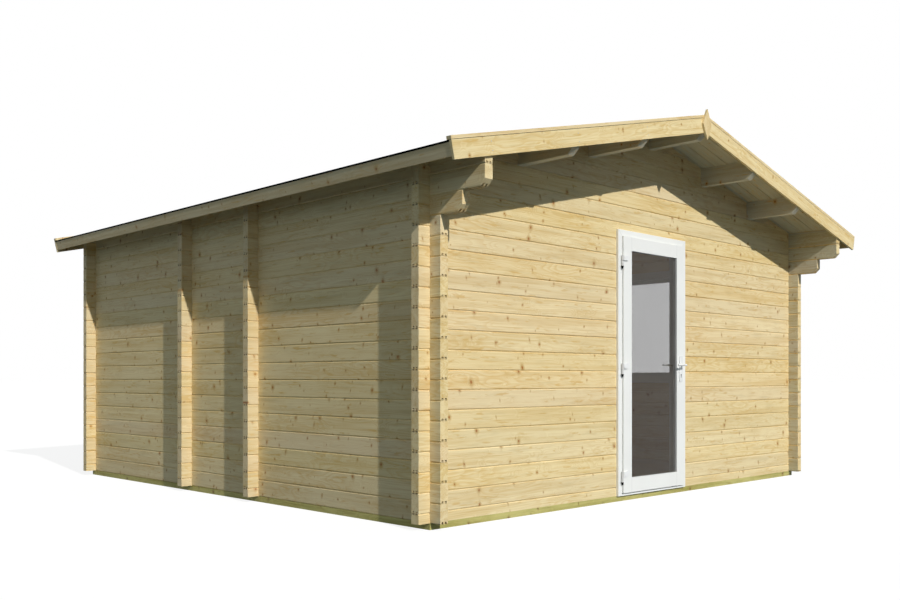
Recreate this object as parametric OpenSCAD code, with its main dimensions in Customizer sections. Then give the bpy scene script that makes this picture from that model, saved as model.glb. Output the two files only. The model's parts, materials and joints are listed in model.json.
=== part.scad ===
// Garden house built of stacked, notched wall logs, with a low gable roof
// on purlins, a glazed single door in front and a window in the right wall.
// Millimetres. +X right, +Y to the rear, +Z up. The origin is on the ground,
// under the middle of the whole building.

/* [House] */
// Width of the house over its side walls
house_w = 5150; // [4290:10:6400]
// Depth of the house over its front and rear walls
house_d = 5140; // [4280:10:6400]

/* [Wall logs] */
// Thickness of a wall log
log_t = 70; // [62:1:84]
// Height that one log adds to a wall
course_h = 135; // [112:1:162]
// Height of the lowest log of a side wall
first_log_h = 135; // [113:1:162]
// Whole logs in a side wall, under its bevelled top log
side_courses = 17; // [15:1:20]
// Height of the bevelled top log at the outer face of a side wall
top_log_h = 141; // [118:1:160]
// Length that a log runs on past the wall it crosses
log_end = 100; // [80:1:120]
// Depth of the chamfer along each seam
seam_chamfer = 7; // [5:0.5:8]
// Height of the tongues on top of a log
tongue_h = 10; // [8:0.5:12]
// Width of a tongue at its foot
tongue_w = 14; // [12:0.5:15]
// Narrowing of a tongue on each side from its foot to its top
tongue_taper = 3; // [1:0.5:4]
// Distance between the two tongues of a log
tongue_pitch = 30; // [27:0.5:32]
// Height left free over a tongue in its groove
tongue_room = 7; // [4:0.5:8]
// Width left free on each side of a tongue's foot
tongue_side = 1; // [0.5:0.25:1.5]
// Shortest end that a gable log keeps past a purlin
stub_min = 60; // [50:1:80]
// Smallest share of a course that is a log of its own at a gable's peak
least_course = 0.3; // [0.1:0.05:0.5]
// Clearance between pieces that lie on or in each other
fit = 0.3; // [0.2:0.1:0.8]

/* [Cross log stacks] */
// Distance from the front wall's face to the middle of the first stack
stack_1_y = 2065; // [1700:5:2500]
// Distance from the front wall's face to the middle of the second stack
stack_2_y = 3134; // [2700:5:3700]
// Length of a stack's logs inside the house
stack_inside = 100; // [80:5:200]

/* [Base and floor] */
// Height of the bearers and floor joists
bearer_h = 45; // [36:1:60]
// Width of a floor joist
joist_w = 70; // [50:1:90]
// Widest distance from one floor joist to the next
joist_pitch = 560; // [400:10:680]
// Thickness of the floor boards
floor_t = 19; // [16:1:28]
// Gap between the floor and the walls
floor_gap = 10; // [5:1:15]

/* [Roof] */
// Slope of the roof in degrees
roof_pitch = 13.31; // [11:0.1:16]
// Reach of the verge boards in front of the front wall
front_reach = 520; // [430:5:630]
// Reach of the verge boards behind the rear wall
rear_reach = 222; // [180:2:270]
// Reach of the verge boards past the side walls
eave_reach = 307; // [250:1:370]
// Thickness of the roof boards
deck_t = 19; // [16:1:26]
// Thickness of the roofing felt
felt_t = 3; // [2:0.5:6]
// Height of the felt's edge that hangs down over the eave boards
felt_lip = 10; // [6:1:14]
// Distance that the felt's edge stays behind the face of a verge board
felt_set = 2; // [1:0.5:4]
// Width of the verge boards
verge_w = 118; // [98:1:142]
// Thickness of the verge boards
verge_t = 20; // [16:1:26]
// Depth of the cap strips on the verges
cap_w = 40; // [32:1:50]
// Thickness of the cap strips
cap_t = 22; // [17:1:28]
// Width of the eave boards
eave_board_w = 95; // [79:1:114]
// Thickness of the eave boards
eave_board_t = 19; // [16:1:26]
// Width of the diamond at each gable's peak
finial_w = 130; // [100:1:160]
// Height of the diamond
finial_h = 250; // [200:1:300]
// Thickness of the diamond
finial_t = 17; // [12:1:22]
// Height of the diamond's middle below the cap strips' peak
finial_drop = 84; // [60:1:110]

/* [Purlins and corbels] */
// Width of a purlin
purlin_w = 70; // [58:1:84]
// Depth of a purlin at its middle
purlin_h = 153; // [125:1:180]
// Distance from one purlin to the next
purlin_pitch = 834; // [700:1:1000]
// Size of the bevel under a purlin's front end
purlin_bevel = 45; // [30:1:60]
// Reach of the lowest corbel log in front of the wall
corbel_reach = 300; // [240:5:360]
// Size of the bevel under a corbel log's end
corbel_bevel = 42; // [30:1:55]

/* [Door] */
// Width over the door frame
door_w = 1002; // [840:2:1200]
// Height of the door frame's top above the bearers
door_h = 2167; // [1850:1:2200]
// Width of the frame's face that shows beside the leaf
frame_face = 52; // [44:1:60]
// Overlap of the leaf's lip on the frame's face
lap = 12; // [8:0.5:14]
// Gap between that lip and the frame's face
lap_gap = 2.5; // [1:0.5:4]
// Depth that the wall logs enter the frame's groove
frame_groove = 20; // [14:1:24]
// Thickness of the frame on each face of the wall
casing_t = 22; // [16:1:28]
// Width of the stop that the door closes against
stop_w = 16; // [12:1:20]
// Gap over and beside the part of the leaf that enters the frame
leaf_gap = 5; // [5:0.5:7]
// Gap under the door leaf
foot_gap = 8; // [6:0.5:12]
// Gap between the closed leaf and the stop
stop_gap = 7; // [6:0.5:9]
// Thickness of the leaf
leaf_t = 40; // [38:1:46]
// Distance that a leaf or sash stands out of its frame
leaf_proud = 16.5; // [14:0.5:20]
// Width of the leaf's upright stiles
stile_w = 112; // [94:1:134]
// Height of the leaf's top rail
top_rail_h = 113; // [95:1:135]
// Height of the leaf's bottom rail
bottom_rail_h = 121; // [100:1:146]
// Height of the threshold
threshold_h = 14; // [10:1:18]
// Chamfer along the edges of frames, leaf and sash
arris = 2; // [1:0.5:3]
// Side of the square V groove along the mitres of a frame's face
mitre_v = 2; // [1:0.5:3]

/* [Glazing] */
// Depth of the glass behind the front face of a door or sash
glass_setback = 16; // [12:1:18]
// Thickness of one pane
pane_t = 4; // [3:0.5:5]
// Space between the two panes
pane_gap = 8; // [6:1:10]
// Width of the rebate that holds the glass
rebate_w = 14; // [10:1:16]
// Depth that the glass stands in its rebate
glass_grip = 12; // [8:1:13]
// Chamfer of the glazing beads
bead_chamfer = 3; // [2:0.5:4]

/* [Hinges and handle] */
// Height of a hinge's barrel
hinge_h = 87; // [74:1:104]
// Distance from the leaf's foot to the middle of its lowest hinge
hinge_foot = 133; // [110:1:220]
// Distance from the leaf's top to the middle of its highest hinge
hinge_head = 203; // [110:1:260]
// Radius of a hinge barrel
barrel_r = 10; // [8:0.5:11]
// Distance from the leaf's edge to the hinge's axis
hinge_out = 12; // [12:0.5:16]
// Distance from the frame's face to the hinge's axis
hinge_proud = 12; // [11.5:0.5:14]
// Gap between the two halves of a barrel
knuckle_gap = 1; // [0.6:0.1:1.5]
// Height of the pointed cap under a hinge
hinge_tip = 22; // [16:1:26]
// Reach of a hinge's plate on the leaf
hinge_plate_w = 60; // [48:1:70]
// Height of a hinge's plate
hinge_plate_h = 39; // [32:1:41]
// Thickness of a hinge's plate
hinge_plate_t = 11; // [8:0.5:12]
// Radius of the round corner of a hinge's plate
hinge_plate_r = 22; // [10:1:30]
// Radius of a hinge pin
pin_r = 5; // [4:0.25:6]
// Height of the closed end over a pin
pin_cover = 7; // [5:0.5:12]
// Clearance between pin and barrel
pin_fit = 0.2; // [0.1:0.05:0.3]
// Width of a handle plate
plate_w = 44; // [34:1:48]
// Height of a handle plate
plate_h = 223; // [190:1:260]
// Thickness of a handle plate
plate_t = 8; // [6:0.5:9.5]
// Radius of a handle plate's corners
plate_r = 6; // [3:0.5:10]
// Distance from the leaf's edge to the handle's middle
backset = 54; // [48:1:64]
// Height of the lever above the bearers
lever_z = 1073; // [950:1:1150]
// Height of the plate's lower end below the lever
plate_drop = 144; // [130:1:165]
// Height of the lock cylinder's middle below the lever
lock_drop = 87; // [78:1:98]
// Radius of the round part of the lock cylinder's hole
lock_r = 8.5; // [7:0.5:9]
// Width of the lower part of the lock cylinder's hole
lock_w = 10; // [9:0.5:11]
// Height of the lock cylinder's hole
lock_h = 33; // [30:0.5:34]
// Length of a lever
lever_l = 125; // [100:1:145]
// Radius of a lever
lever_r = 7.5; // [6:0.25:8.5]
// Distance from the plate to the lever's middle
lever_out = 50; // [42:1:58]
// Radius of a lever's neck
neck_r = 8.5; // [8.5:0.5:10]
// Radius of the collar at a lever's foot
collar_r = 12.5; // [11:0.5:15]
// Height of that collar
collar_h = 8; // [5:0.5:12]
// Radius of the spindle through the leaf
spindle_r = 5; // [4:0.25:6]
// Room round the spindle in the leaf
spindle_room = 1; // [0.5:0.25:2]

/* [Window] */
// Distance from the front wall's face to the window's middle
window_y = 1700; // [1400:10:2000]
// Width over the window frame
window_w = 1300; // [1100:10:1500]
// Height over the window frame
window_h = 1273; // [1065:1:1300]
// Course of a side wall on whose top seam the window's opening ends
window_head = 16; // [14:1:17]
// Width of the sash members
sash_w = 67; // [58:1:80]
// Thickness of the sash
sash_t = 40; // [38:1:46]
// Gap round the part of the sash that enters the frame
sash_gap = 3; // [2:0.5:5]

/* [Hidden] */

big = 20000;
$fn = 48;

// Colours
pine = "#d9bd84";
pine_dark = "#c7a76c";
green_pine = "#a7a06a";
paint = "#f2f2ee";
felt_black = "#2a2a2c";
pane_blue = [0.62, 0.70, 0.72, 0.45];

// Plan: outer faces of the walls, with the whole building centred on the origin
left_x = -house_w / 2;
right_x = house_w / 2;
front_y = (front_reach - rear_reach - house_d) / 2;
rear_y = front_y + house_d;
verge_front_y = front_y - front_reach;
verge_rear_y = rear_y + rear_reach;
roof_y0 = verge_front_y + verge_t;
roof_y1 = verge_rear_y - verge_t;

// Centre lines of the walls and stacks
left_c = left_x + log_t / 2;
right_c = right_x - log_t / 2;
front_c = front_y + log_t / 2;
rear_c = rear_y - log_t / 2;
stack_c = [front_y + stack_1_y, front_y + stack_2_y];

// Heights of the log seams: the cross walls lie half a course lower
function side_seam(k) = k < 1 ? bearer_h : bearer_h + first_log_h + course_h * (k - 1);
function cross_seam(j) = j < 0 ? bearer_h
    : bearer_h + first_log_h + course_h * (j - 0.5);
top_course = side_courses + 1;

// Roof planes
eave_z = side_seam(side_courses) + top_log_h;
ridge_z = eave_z + house_w / 2 * tan(roof_pitch);
function soffit(x) = ridge_z - abs(x) * tan(roof_pitch);
// Top of what carries the roof boards, one clearance under them
function seat(x) = soffit(x) - fit / cos(roof_pitch);
verge_u = (house_w / 2 + eave_reach) / cos(roof_pitch);
eave_face_u = verge_u - felt_t;
deck_u = eave_face_u - eave_board_t;
felt_n = deck_t + felt_t;
// Last course of a gable, which reaches the roof; what is left of a course over it is part of it
gable_top = ceil((soffit(purlin_w / 2) - cross_seam(0)) / course_h - least_course);
// Point on the right roof slope: u down the slope, n square to it
function slope_pt(u, n) = [
    u * cos(roof_pitch) + n * sin(roof_pitch),
    ridge_z - u * sin(roof_pitch) + n * cos(roof_pitch)
];
// The same at the plumb cut on the ridge, half a joint from the middle
function ridge_pt(n) = slope_pt((fit / 2 - n * sin(roof_pitch)) / cos(roof_pitch), n);

// Door
leaf_front = front_y - casing_t - leaf_proud;
frame_top = bearer_h + door_h;
jamb_w = frame_face + lap;
jamb_x = door_w / 2 - jamb_w;
leaf_x = jamb_x + lap;
leaf_z0 = bearer_h + threshold_h + foot_gap;
leaf_z1 = frame_top - frame_face;
// Thickness of the lip round a leaf or sash
lip_t = leaf_proud - lap_gap;
sight_x = leaf_x - stile_w;
sight_z0 = leaf_z0 + bottom_rail_h;
sight_z1 = leaf_z1 - top_rail_h;
opening_x = door_w / 2 - frame_groove;
opening_top = frame_top - frame_groove;
stop_y = leaf_front + leaf_t + stop_gap;
// First course of the front wall that runs on over the door
lintel = [for (j = [0:gable_top]) if (cross_seam(j) > opening_top + seam_chamfer) j][0];
floor_top = bearer_h + floor_t;

// Hinge axis, in front of the frame's face beside the leaf
hinge_x = -leaf_x - hinge_out;
hinge_y = front_y - casing_t - hinge_proud;
hinge_low = leaf_z0 + hinge_foot;
hinge_high = leaf_z1 - hinge_head;
hinge_z = [hinge_low, (hinge_low + hinge_high) / 2, hinge_high];
handle_x = leaf_x - backset;
handle_z = bearer_h + lever_z;

// Window, in the frame of the right wall
window_top = side_seam(window_head) + frame_groove;
window_bottom = window_top - window_h;
window_c = front_y + window_y;
// Last course of the right wall that runs on under the window
sill = [for (k = [1:window_head]) if (side_seam(k) > window_bottom + frame_groove) k][0];

// ---- logs ----

// End view of a log with two tongues above and two grooves below
module log_section(h, grooves = true, tongues = true) {
    half = log_t / 2;
    top = h - fit;
    function bar(s, z, w, rise, taper) = [
        [s * tongue_pitch / 2 + w / 2, z],
        [s * tongue_pitch / 2 + w / 2 - taper, z + rise],
        [s * tongue_pitch / 2 - w / 2 + taper, z + rise],
        [s * tongue_pitch / 2 - w / 2, z]
    ];
    function turned(list) = [for (i = [len(list) - 1:-1:0]) list[i]];
    groove_w = tongue_w + 2 * tongue_side;
    groove_h = tongue_h + tongue_room;
    bottom_edge = grooves
        ? concat([[-half, seam_chamfer], [-half + seam_chamfer, 0]],
            turned(bar(-1, 0, groove_w, groove_h, 0)), turned(bar(1, 0, groove_w, groove_h, 0)),
            [[half - seam_chamfer, 0], [half, seam_chamfer]])
        : [[-half, 0], [half, 0]];
    top_edge = tongues
        ? concat([[half, top - seam_chamfer], [half - seam_chamfer, top]],
            bar(1, top, tongue_w, tongue_h, tongue_taper),
            bar(-1, top, tongue_w, tongue_h, tongue_taper),
            [[-half + seam_chamfer, top], [-half, top - seam_chamfer]])
        : [[half, top], [-half, top]];
    polygon(concat(bottom_edge, top_edge));
}

// A log along X, from x0 to x1, with its middle on line y
module log_x(x0, x1, y, z0, z1, grooves = true, tongues = true) {
    translate([x0, y, z0]) rotate([90, 0, 90])
        linear_extrude(x1 - x0) log_section(z1 - z0, grooves, tongues);
}

// A log along Y, from y0 to y1, with its middle on line x
module log_y(y0, y1, x, z0, z1, grooves = true, tongues = true) {
    translate([x, y0, z0]) rotate([90, 0, 180])
        linear_extrude(y1 - y0) log_section(z1 - z0, grooves, tongues);
}

// What the notches take from a log whose upper seam is at z, where it crosses at [x, y]
module crossing(x, y, z) {
    w = log_t + 2 * fit;
    translate([x - w / 2, y - w / 2, z - course_h / 4 - fit]) cube([w, w, course_h]);
    translate([x - w / 2, y - w / 2, z - course_h * 7 / 4]) cube([w, w, course_h]);
}

// Everything above the seat of the roof boards
module above_roof() {
    reach = house_w / 2 + eave_reach;
    translate([0, verge_rear_y, 0]) rotate([90, 0, 0])
        linear_extrude(verge_rear_y - verge_front_y)
            polygon([[-reach, seat(reach)], [0, seat(0)], [reach, seat(reach)],
                [reach, ridge_z + course_h * 2], [-reach, ridge_z + course_h * 2]]);
}

// Room that the purlins take in a gable
module purlin_seats() {
    for (i = [-2:2])
        translate([i * purlin_pitch - purlin_w / 2 - fit, verge_front_y,
            soffit(i * purlin_pitch) - purlin_h - fit])
            cube([purlin_w + 2 * fit, verge_rear_y - verge_front_y, purlin_h * 2]);
}

// What the chamfers along a side wall's top, under the roof boards, take
module roof_line_cut(x) {
    for (side = [-1, 1])
        translate([x + side * log_t / 2, 0, seat(x + side * log_t / 2)]) rotate([0, 45, 0])
            cube([seam_chamfer, 2 * (verge_rear_y - verge_front_y), seam_chamfer], center = true);
}

// One log of a side wall, course k, from y0 to y1, notched over the lines in cross_at
module side_log(x, k, y0, y1, cross_at) {
    top = k == top_course;
    z1 = top ? soffit(abs(x) - log_t / 2) : side_seam(k);
    difference() {
        log_y(y0, y1, x, side_seam(k - 1), z1, true, !top);
        for (y = cross_at) crossing(x, y, side_seam(k));
        if (top) {
            above_roof();
            roof_line_cut(x);
        }
    }
}

// One log of a cross wall, course j, from x0 to x1, notched over the lines in cross_at
module cross_log(y, j, x0, x1, cross_at) {
    z1 = j < gable_top ? cross_seam(j) : ridge_z;
    difference() {
        log_x(x0, x1, y, cross_seam(j - 1), z1, j > 0, j < gable_top);
        for (x = cross_at) crossing(x, y, cross_seam(j));
        if (cross_seam(j) + tongue_h > soffit(house_w / 2 + log_end)) above_roof();
    }
}

// A bevelled lower corner at the end of a log or purlin that runs along Y
module end_bevel(x, y, z, size) {
    translate([x, y, z]) rotate([45, 0, 0])
        cube([2 * log_t, size * sqrt(2), size * sqrt(2)], center = true);
}

// Reach of side wall course k past the front wall
function front_end(k) = k > side_courses - 1 ? verge_t - front_reach
    : k == side_courses - 1 ? -corbel_reach : -log_end;
// Reach of side wall course k past the rear wall
function rear_end(k) = k > side_courses - 1 ? rear_reach - verge_t : log_end;

// Courses k0 to k1 of a side wall at centre line x, from end to end
module side_wall(x, k0, k1, cross_at) {
    for (k = [k0:k1]) difference() {
        side_log(x, k, front_y + front_end(k), rear_y + rear_end(k), cross_at);
        if (k == side_courses - 1 || k == side_courses)
            end_bevel(x, front_y + front_end(k), side_seam(k - 1), corbel_bevel);
    }
}

// ---- base and floor ----

module bearer_front() {
    color(green_pine) translate([left_x, front_y, 0]) cube([house_w, log_t, bearer_h]);
}

module bearer_rear() {
    color(green_pine) translate([left_x, rear_y - log_t, 0]) cube([house_w, log_t, bearer_h]);
}

module side_bearer(x) {
    color(green_pine) translate([x - log_t / 2, front_y + log_t, 0])
        cube([log_t, house_d - 2 * log_t, bearer_h]);
}

module bearer_left() { side_bearer(left_c); }
module bearer_right() { side_bearer(right_c); }

module floor_joists() {
    run = house_d - 2 * log_t - joist_w - 2 * fit;
    count = ceil(run / joist_pitch);
    length = house_w - 2 * log_t - 2 * fit;
    color(green_pine)
        for (i = [0:count])
            translate([-length / 2, front_y + log_t + fit + i * run / count, 0])
                cube([length, joist_w, bearer_h]);
}

module floor() {
    inset = log_t + floor_gap;
    color(pine_dark) difference() {
        translate([left_x + inset, front_y + inset, bearer_h])
            cube([house_w - 2 * inset, house_d - 2 * inset, floor_t]);
        for (y = stack_c)
            translate([left_x, y - log_t / 2 - floor_gap, 0])
                cube([log_t + stack_inside + floor_gap, log_t + 2 * floor_gap, 2 * floor_top]);
    }
}

// ---- walls ----

module left_wall() {
    color(pine) side_wall(left_c, 1, side_courses - 2, concat([front_c, rear_c], stack_c));
}

module left_wall_corbels() {
    color(pine) side_wall(left_c, side_courses - 1, top_course,
        concat([front_c, rear_c], stack_c));
}

module right_wall_low() {
    color(pine) difference() {
        side_wall(right_c, 1, sill, [front_c, rear_c]);
        window_opening();
    }
}

module right_wall_front() {
    y1 = window_c - window_w / 2 + frame_groove;
    color(pine)
        for (k = [sill + 1:window_head]) difference() {
            side_log(right_c, k, front_y + front_end(k), y1, [front_c]);
            if (k >= side_courses - 1)
                end_bevel(right_c, front_y + front_end(k), side_seam(k - 1), corbel_bevel);
        }
}

module right_wall_rear() {
    y0 = window_c + window_w / 2 - frame_groove;
    color(pine)
        for (k = [sill + 1:window_head])
            side_log(right_c, k, y0, rear_y + rear_end(k), [rear_c]);
}

module right_wall_corbels() {
    color(pine) side_wall(right_c, window_head + 1, top_course, [front_c, rear_c]);
}

// The window's hole in the right wall
module window_opening() {
    translate([right_x - 2 * log_t, window_c - window_w / 2 + frame_groove,
        window_bottom + frame_groove])
        cube([3 * log_t, window_w - 2 * frame_groove, window_h - 2 * frame_groove]);
}

module front_wall_left() {
    color(pine)
        for (j = [0:lintel - 1])
            cross_log(front_c, j, left_x - log_end, -opening_x, [left_c]);
}

module front_wall_right() {
    color(pine)
        for (j = [0:lintel - 1])
            cross_log(front_c, j, opening_x, right_x + log_end, [right_c]);
}

// Where a gable log with its lower seam at z ends: where the roof meets that seam, or at a
// purlin's middle if only a stub would be left past that purlin
function gable_tip(z) = let (x = (ridge_z - z) / tan(roof_pitch),
    near = [for (i = [1:2]) if (x > i * purlin_pitch
        && x < i * purlin_pitch + purlin_w / 2 + stub_min) i * purlin_pitch])
    len(near) > 0 ? near[0] : x;

// Courses j0 and up of a gable wall at centre line y
module gable_wall(y, j0) {
    difference() {
        for (j = [j0:gable_top]) {
            end = min(right_x + log_end, gable_tip(cross_seam(j - 1)));
            cross_log(y, j, -end, end, [left_c, right_c]);
        }
        purlin_seats();
    }
}

module front_gable() {
    color(pine) difference() {
        gable_wall(front_c, lintel);
        translate([-opening_x, front_y - log_t, bearer_h])
            cube([2 * opening_x, 3 * log_t, opening_top - bearer_h]);
    }
}

module rear_wall() {
    color(pine) gable_wall(rear_c, 0);
}

module cross_stack(y) {
    color(pine)
        for (j = [0:side_courses + 1])
            cross_log(y, j, left_x - log_end, left_x + log_t + stack_inside, [left_c]);
}

module cross_stack_front() { cross_stack(stack_c[0]); }
module cross_stack_rear() { cross_stack(stack_c[1]); }

// ---- roof ----

// A purlin i steps from the ridge, with its top bevelled to the roof
module purlin(i) {
    x = i * purlin_pitch;
    half = purlin_w / 2;
    bottom = soffit(x) - purlin_h;
    peak = i == 0 ? [[0, seat(0)]] : [];
    color(pine) difference() {
        translate([0, roof_y1, 0]) rotate([90, 0, 0]) linear_extrude(roof_y1 - roof_y0)
            polygon(concat([[x - half, bottom], [x + half, bottom], [x + half, seat(x + half)]],
                peak, [[x - half, seat(x - half)]]));
        end_bevel(x, roof_y0, bottom, purlin_bevel);
    }
}

module ridge_purlin() { purlin(0); }
module upper_purlins() { for (i = [-1, 1]) purlin(i); }
module lower_purlins() { for (i = [-2, 2]) purlin(i); }

// A board of the right roof slope, n0 to n1 above the roof plane, cut plumb at the ridge
module slope_board(n0, n1, u1, y0, y1) {
    translate([0, y1, 0]) rotate([90, 0, 0]) linear_extrude(y1 - y0)
        polygon([ridge_pt(n0), slope_pt(u1, n0), slope_pt(u1, n1), ridge_pt(n1)]);
}

module roof_boards() {
    color(pine_dark) slope_board(0, deck_t, deck_u, roof_y0, roof_y1);
}

module roof_boards_right() { roof_boards(); }
module roof_boards_left() { mirror([1, 0, 0]) roof_boards(); }

// One sheet over both slopes and the verge boards, bent down over the eave boards
module roofing_felt() {
    lower = [0, ridge_z + (deck_t + fit) / cos(roof_pitch)];
    upper = [0, ridge_z + felt_n / cos(roof_pitch)];
    edge = [slope_pt(verge_u, deck_t + fit), slope_pt(verge_u, felt_n)];
    y0 = verge_front_y + felt_set;
    y1 = verge_rear_y - felt_set;
    color(felt_black) {
        translate([0, y1, 0]) rotate([90, 0, 0]) linear_extrude(y1 - y0)
            polygon([lower, edge[0], edge[1], upper, [-edge[1][0], edge[1][1]],
                [-edge[0][0], edge[0][1]]]);
        for (side = [0, 1]) mirror([side, 0, 0])
            translate([0, roof_y1, 0]) rotate([90, 0, 0]) linear_extrude(roof_y1 - roof_y0)
                polygon([slope_pt(eave_face_u + fit, deck_t - felt_lip),
                    slope_pt(verge_u - fit, deck_t - felt_lip),
                    slope_pt(verge_u - fit, deck_t + felt_t / 2),
                    slope_pt(eave_face_u + fit, deck_t + felt_t / 2)]);
    }
}

// The pair of boards on one gable, from y0 to y1
module verge_pair(n0, n1, y0, y1) {
    slope_board(n0, n1, verge_u, y0, y1);
    mirror([1, 0, 0]) slope_board(n0, n1, verge_u, y0, y1);
}

module verge_boards_front() {
    color(pine) verge_pair(deck_t - verge_w, deck_t, verge_front_y, roof_y0);
}

module verge_boards_rear() {
    color(pine) verge_pair(deck_t - verge_w, deck_t, roof_y1, verge_rear_y);
}

module verge_caps_front() {
    color(pine) verge_pair(felt_n + fit, felt_n + cap_t, verge_front_y, verge_front_y + cap_w);
}

module verge_caps_rear() {
    color(pine) verge_pair(felt_n + fit, felt_n + cap_t, verge_rear_y - cap_w, verge_rear_y);
}

module eave_board() {
    color(pine) translate([0, roof_y1, 0]) rotate([90, 0, 0]) linear_extrude(roof_y1 - roof_y0)
        polygon([slope_pt(deck_u + fit, deck_t - eave_board_w),
            slope_pt(eave_face_u, deck_t - eave_board_w),
            slope_pt(eave_face_u, deck_t), slope_pt(deck_u + fit, deck_t)]);
}

module eave_board_right() { eave_board(); }
module eave_board_left() { mirror([1, 0, 0]) eave_board(); }

// The diamond that covers the joint of two verge boards, with its back on y1
module finial(y1) {
    middle = ridge_z + (felt_n + cap_t) / cos(roof_pitch) - finial_drop;
    color(pine) translate([0, y1, middle]) rotate([90, 0, 0]) linear_extrude(finial_t)
        polygon([[finial_w / 2, 0], [0, finial_h / 2], [-finial_w / 2, 0], [0, -finial_h / 2]]);
}

module finial_front() { finial(verge_front_y); }
module finial_rear() { finial(verge_rear_y + finial_t); }

// ---- mitred frames ----

// A mitred frame, 2 * a wide, from z0 to z1. section lists [in from the edge, depth] points;
// m is its width. A footless frame stands on its two uprights.
module mitred(a, z0, z1, m, section, foot = true) {
    cut = fit / 2;
    function lifted(z) = foot ? z : z - m;
    module zone(points) {
        translate([0, big / 2, 0]) rotate([90, 0, 0]) linear_extrude(big) polygon(points);
    }
    for (side = [0, 1]) mirror([side, 0, 0]) intersection() {
        translate([-a, 0, z0]) linear_extrude(z1 - z0) polygon(section);
        zone([[-a - 1, lifted(z0 + cut - 1)], [-a + m + 1, lifted(z0 + m + cut + 1)],
            [-a + m + 1, z1 - m - cut - 1], [-a - 1, z1 - cut + 1]]);
    }
    for (side = foot ? [0, 1] : [0]) translate([0, 0, side * (z0 + z1)]) mirror([0, 0, side])
        intersection() {
            translate([-a, 0, z1]) rotate([90, 0, 90]) linear_extrude(2 * a)
                polygon([for (p = section) [p[1], -p[0]]]);
            zone([[-a - 1, z1 + cut + 1], [-a + m + 1, z1 - m + cut - 1],
                [a - m - 1, z1 - m + cut - 1], [a + 1, z1 + cut + 1]]);
        }
}

// V grooves along the mitres of a frame 2 * a wide, in its face at y = -casing_t
module mitre_grooves(a, z0, z1, foot = true) {
    for (side = [0, 1], low = foot ? [0, 1] : [0])
        mirror([side, 0, 0]) translate([0, 0, low * (z0 + z1)]) mirror([0, 0, low])
            translate([-a, -casing_t, z1]) rotate([0, 45, 0]) rotate([45, 0, 0])
                translate([0, -mitre_v / 2, -mitre_v / 2])
                    cube([jamb_w * sqrt(2), mitre_v, mitre_v]);
}

// Section of a door or window frame whose groove takes the wall; depth 0 is the wall's face
function frame_section(stop_at) = [
    [0, arris - casing_t], [arris, -casing_t], [jamb_w, -casing_t], [jamb_w, stop_at],
    [jamb_w + stop_w, stop_at], [jamb_w + stop_w, log_t + casing_t - arris],
    [jamb_w + stop_w - arris, log_t + casing_t], [arris, log_t + casing_t],
    [0, log_t + casing_t - arris], [0, log_t + fit], [frame_groove + fit, log_t + fit],
    [frame_groove + fit, -fit], [0, -fit]
];

// Section of a sash member with a lip outside and a rebate for the glass inside
function sash_section(w, t) = [
    [0, arris], [arris, 0], [w, 0], [w, glass_setback],
    [w - rebate_w, glass_setback], [w - rebate_w, t], [lap + sash_gap, t],
    [lap + sash_gap, lip_t], [0, lip_t]
];

// Section of a glazing bead that fills the rebate behind the glass of a sash w wide
function bead_section(w, t) = [
    [w - rebate_w + fit, glass_setback + 2 * pane_t + pane_gap],
    [w, glass_setback + 2 * pane_t + pane_gap], [w, t - bead_chamfer], [w - bead_chamfer, t],
    [w - rebate_w + fit, t]
];

// Two panes behind a sight opening 2 * x wide, from z0 to z1, with the sash's face on y
module double_pane(x, z0, z1, y) {
    color(pane_blue)
        for (back = [0, pane_t + pane_gap])
            translate([-x - glass_grip, y + glass_setback + back, z0 - glass_grip])
                cube([2 * (x + glass_grip), pane_t, z1 - z0 + 2 * glass_grip]);
}

// ---- door ----

module door_frame() {
    color(paint) difference() {
        translate([0, front_y, 0])
            mitred(door_w / 2, bearer_h, frame_top, jamb_w + stop_w,
                frame_section(stop_y - front_y), false);
        translate([-door_w, front_y + log_t, 0]) cube([2 * door_w, 2 * casing_t, floor_top]);
        translate([0, front_y, 0]) mitre_grooves(door_w / 2, bearer_h, frame_top, false);
    }
}

module door_threshold() {
    color(paint) translate([-jamb_x + fit, front_y - casing_t, bearer_h])
        cube([2 * (jamb_x - fit), stop_y - front_y + casing_t - fit, threshold_h]);
}

// Section of a leaf member w wide, with an arris along its outer edge at w
module member_section(w) {
    polygon([[0, 0], [w - arris, 0], [w, arris], [w, leaf_t], [0, leaf_t]]);
}

// What is cut from the leaf's back at its sides and top, where its lip laps the frame
module lap_cut() {
    reach = lap + leaf_gap;
    for (side = [0, 1]) mirror([side, 0, 0])
        translate([leaf_x - reach, leaf_front + lip_t, leaf_z0 - 1])
            cube([2 * reach, leaf_t, leaf_z1 - leaf_z0 + 2]);
    translate([-leaf_x - reach, leaf_front + lip_t, leaf_z1 - reach])
        cube([2 * (leaf_x + reach), leaf_t, 2 * reach]);
}

module door_stiles() {
    color(paint)
        for (side = [0, 1]) mirror([side, 0, 0]) difference() {
            translate([sight_x, leaf_front, leaf_z0])
                linear_extrude(leaf_z1 - leaf_z0) member_section(stile_w);
            translate([sight_x - 1, leaf_front + glass_setback, sight_z0 - rebate_w])
                cube([rebate_w + 1, leaf_t, sight_z1 - sight_z0 + 2 * rebate_w]);
            if (side == 0) translate([handle_x, leaf_front - 1, handle_z]) rotate([-90, 0, 0])
                cylinder(r = spindle_r + spindle_room, h = leaf_t + 2);
            lap_cut();
        }
}

// A rail of the leaf between its stiles, h high, with its rebate under the sight edge z
module leaf_rail(z, h) {
    translate([-sight_x, leaf_front, z]) difference() {
        rotate([90, 0, 90]) linear_extrude(2 * sight_x)
            polygon([[0, 0], [leaf_t, 0], [leaf_t, h], [arris, h], [0, h - arris]]);
        translate([-1, glass_setback, -1]) cube([2 * sight_x + 2, leaf_t, rebate_w + 1]);
    }
}

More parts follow.
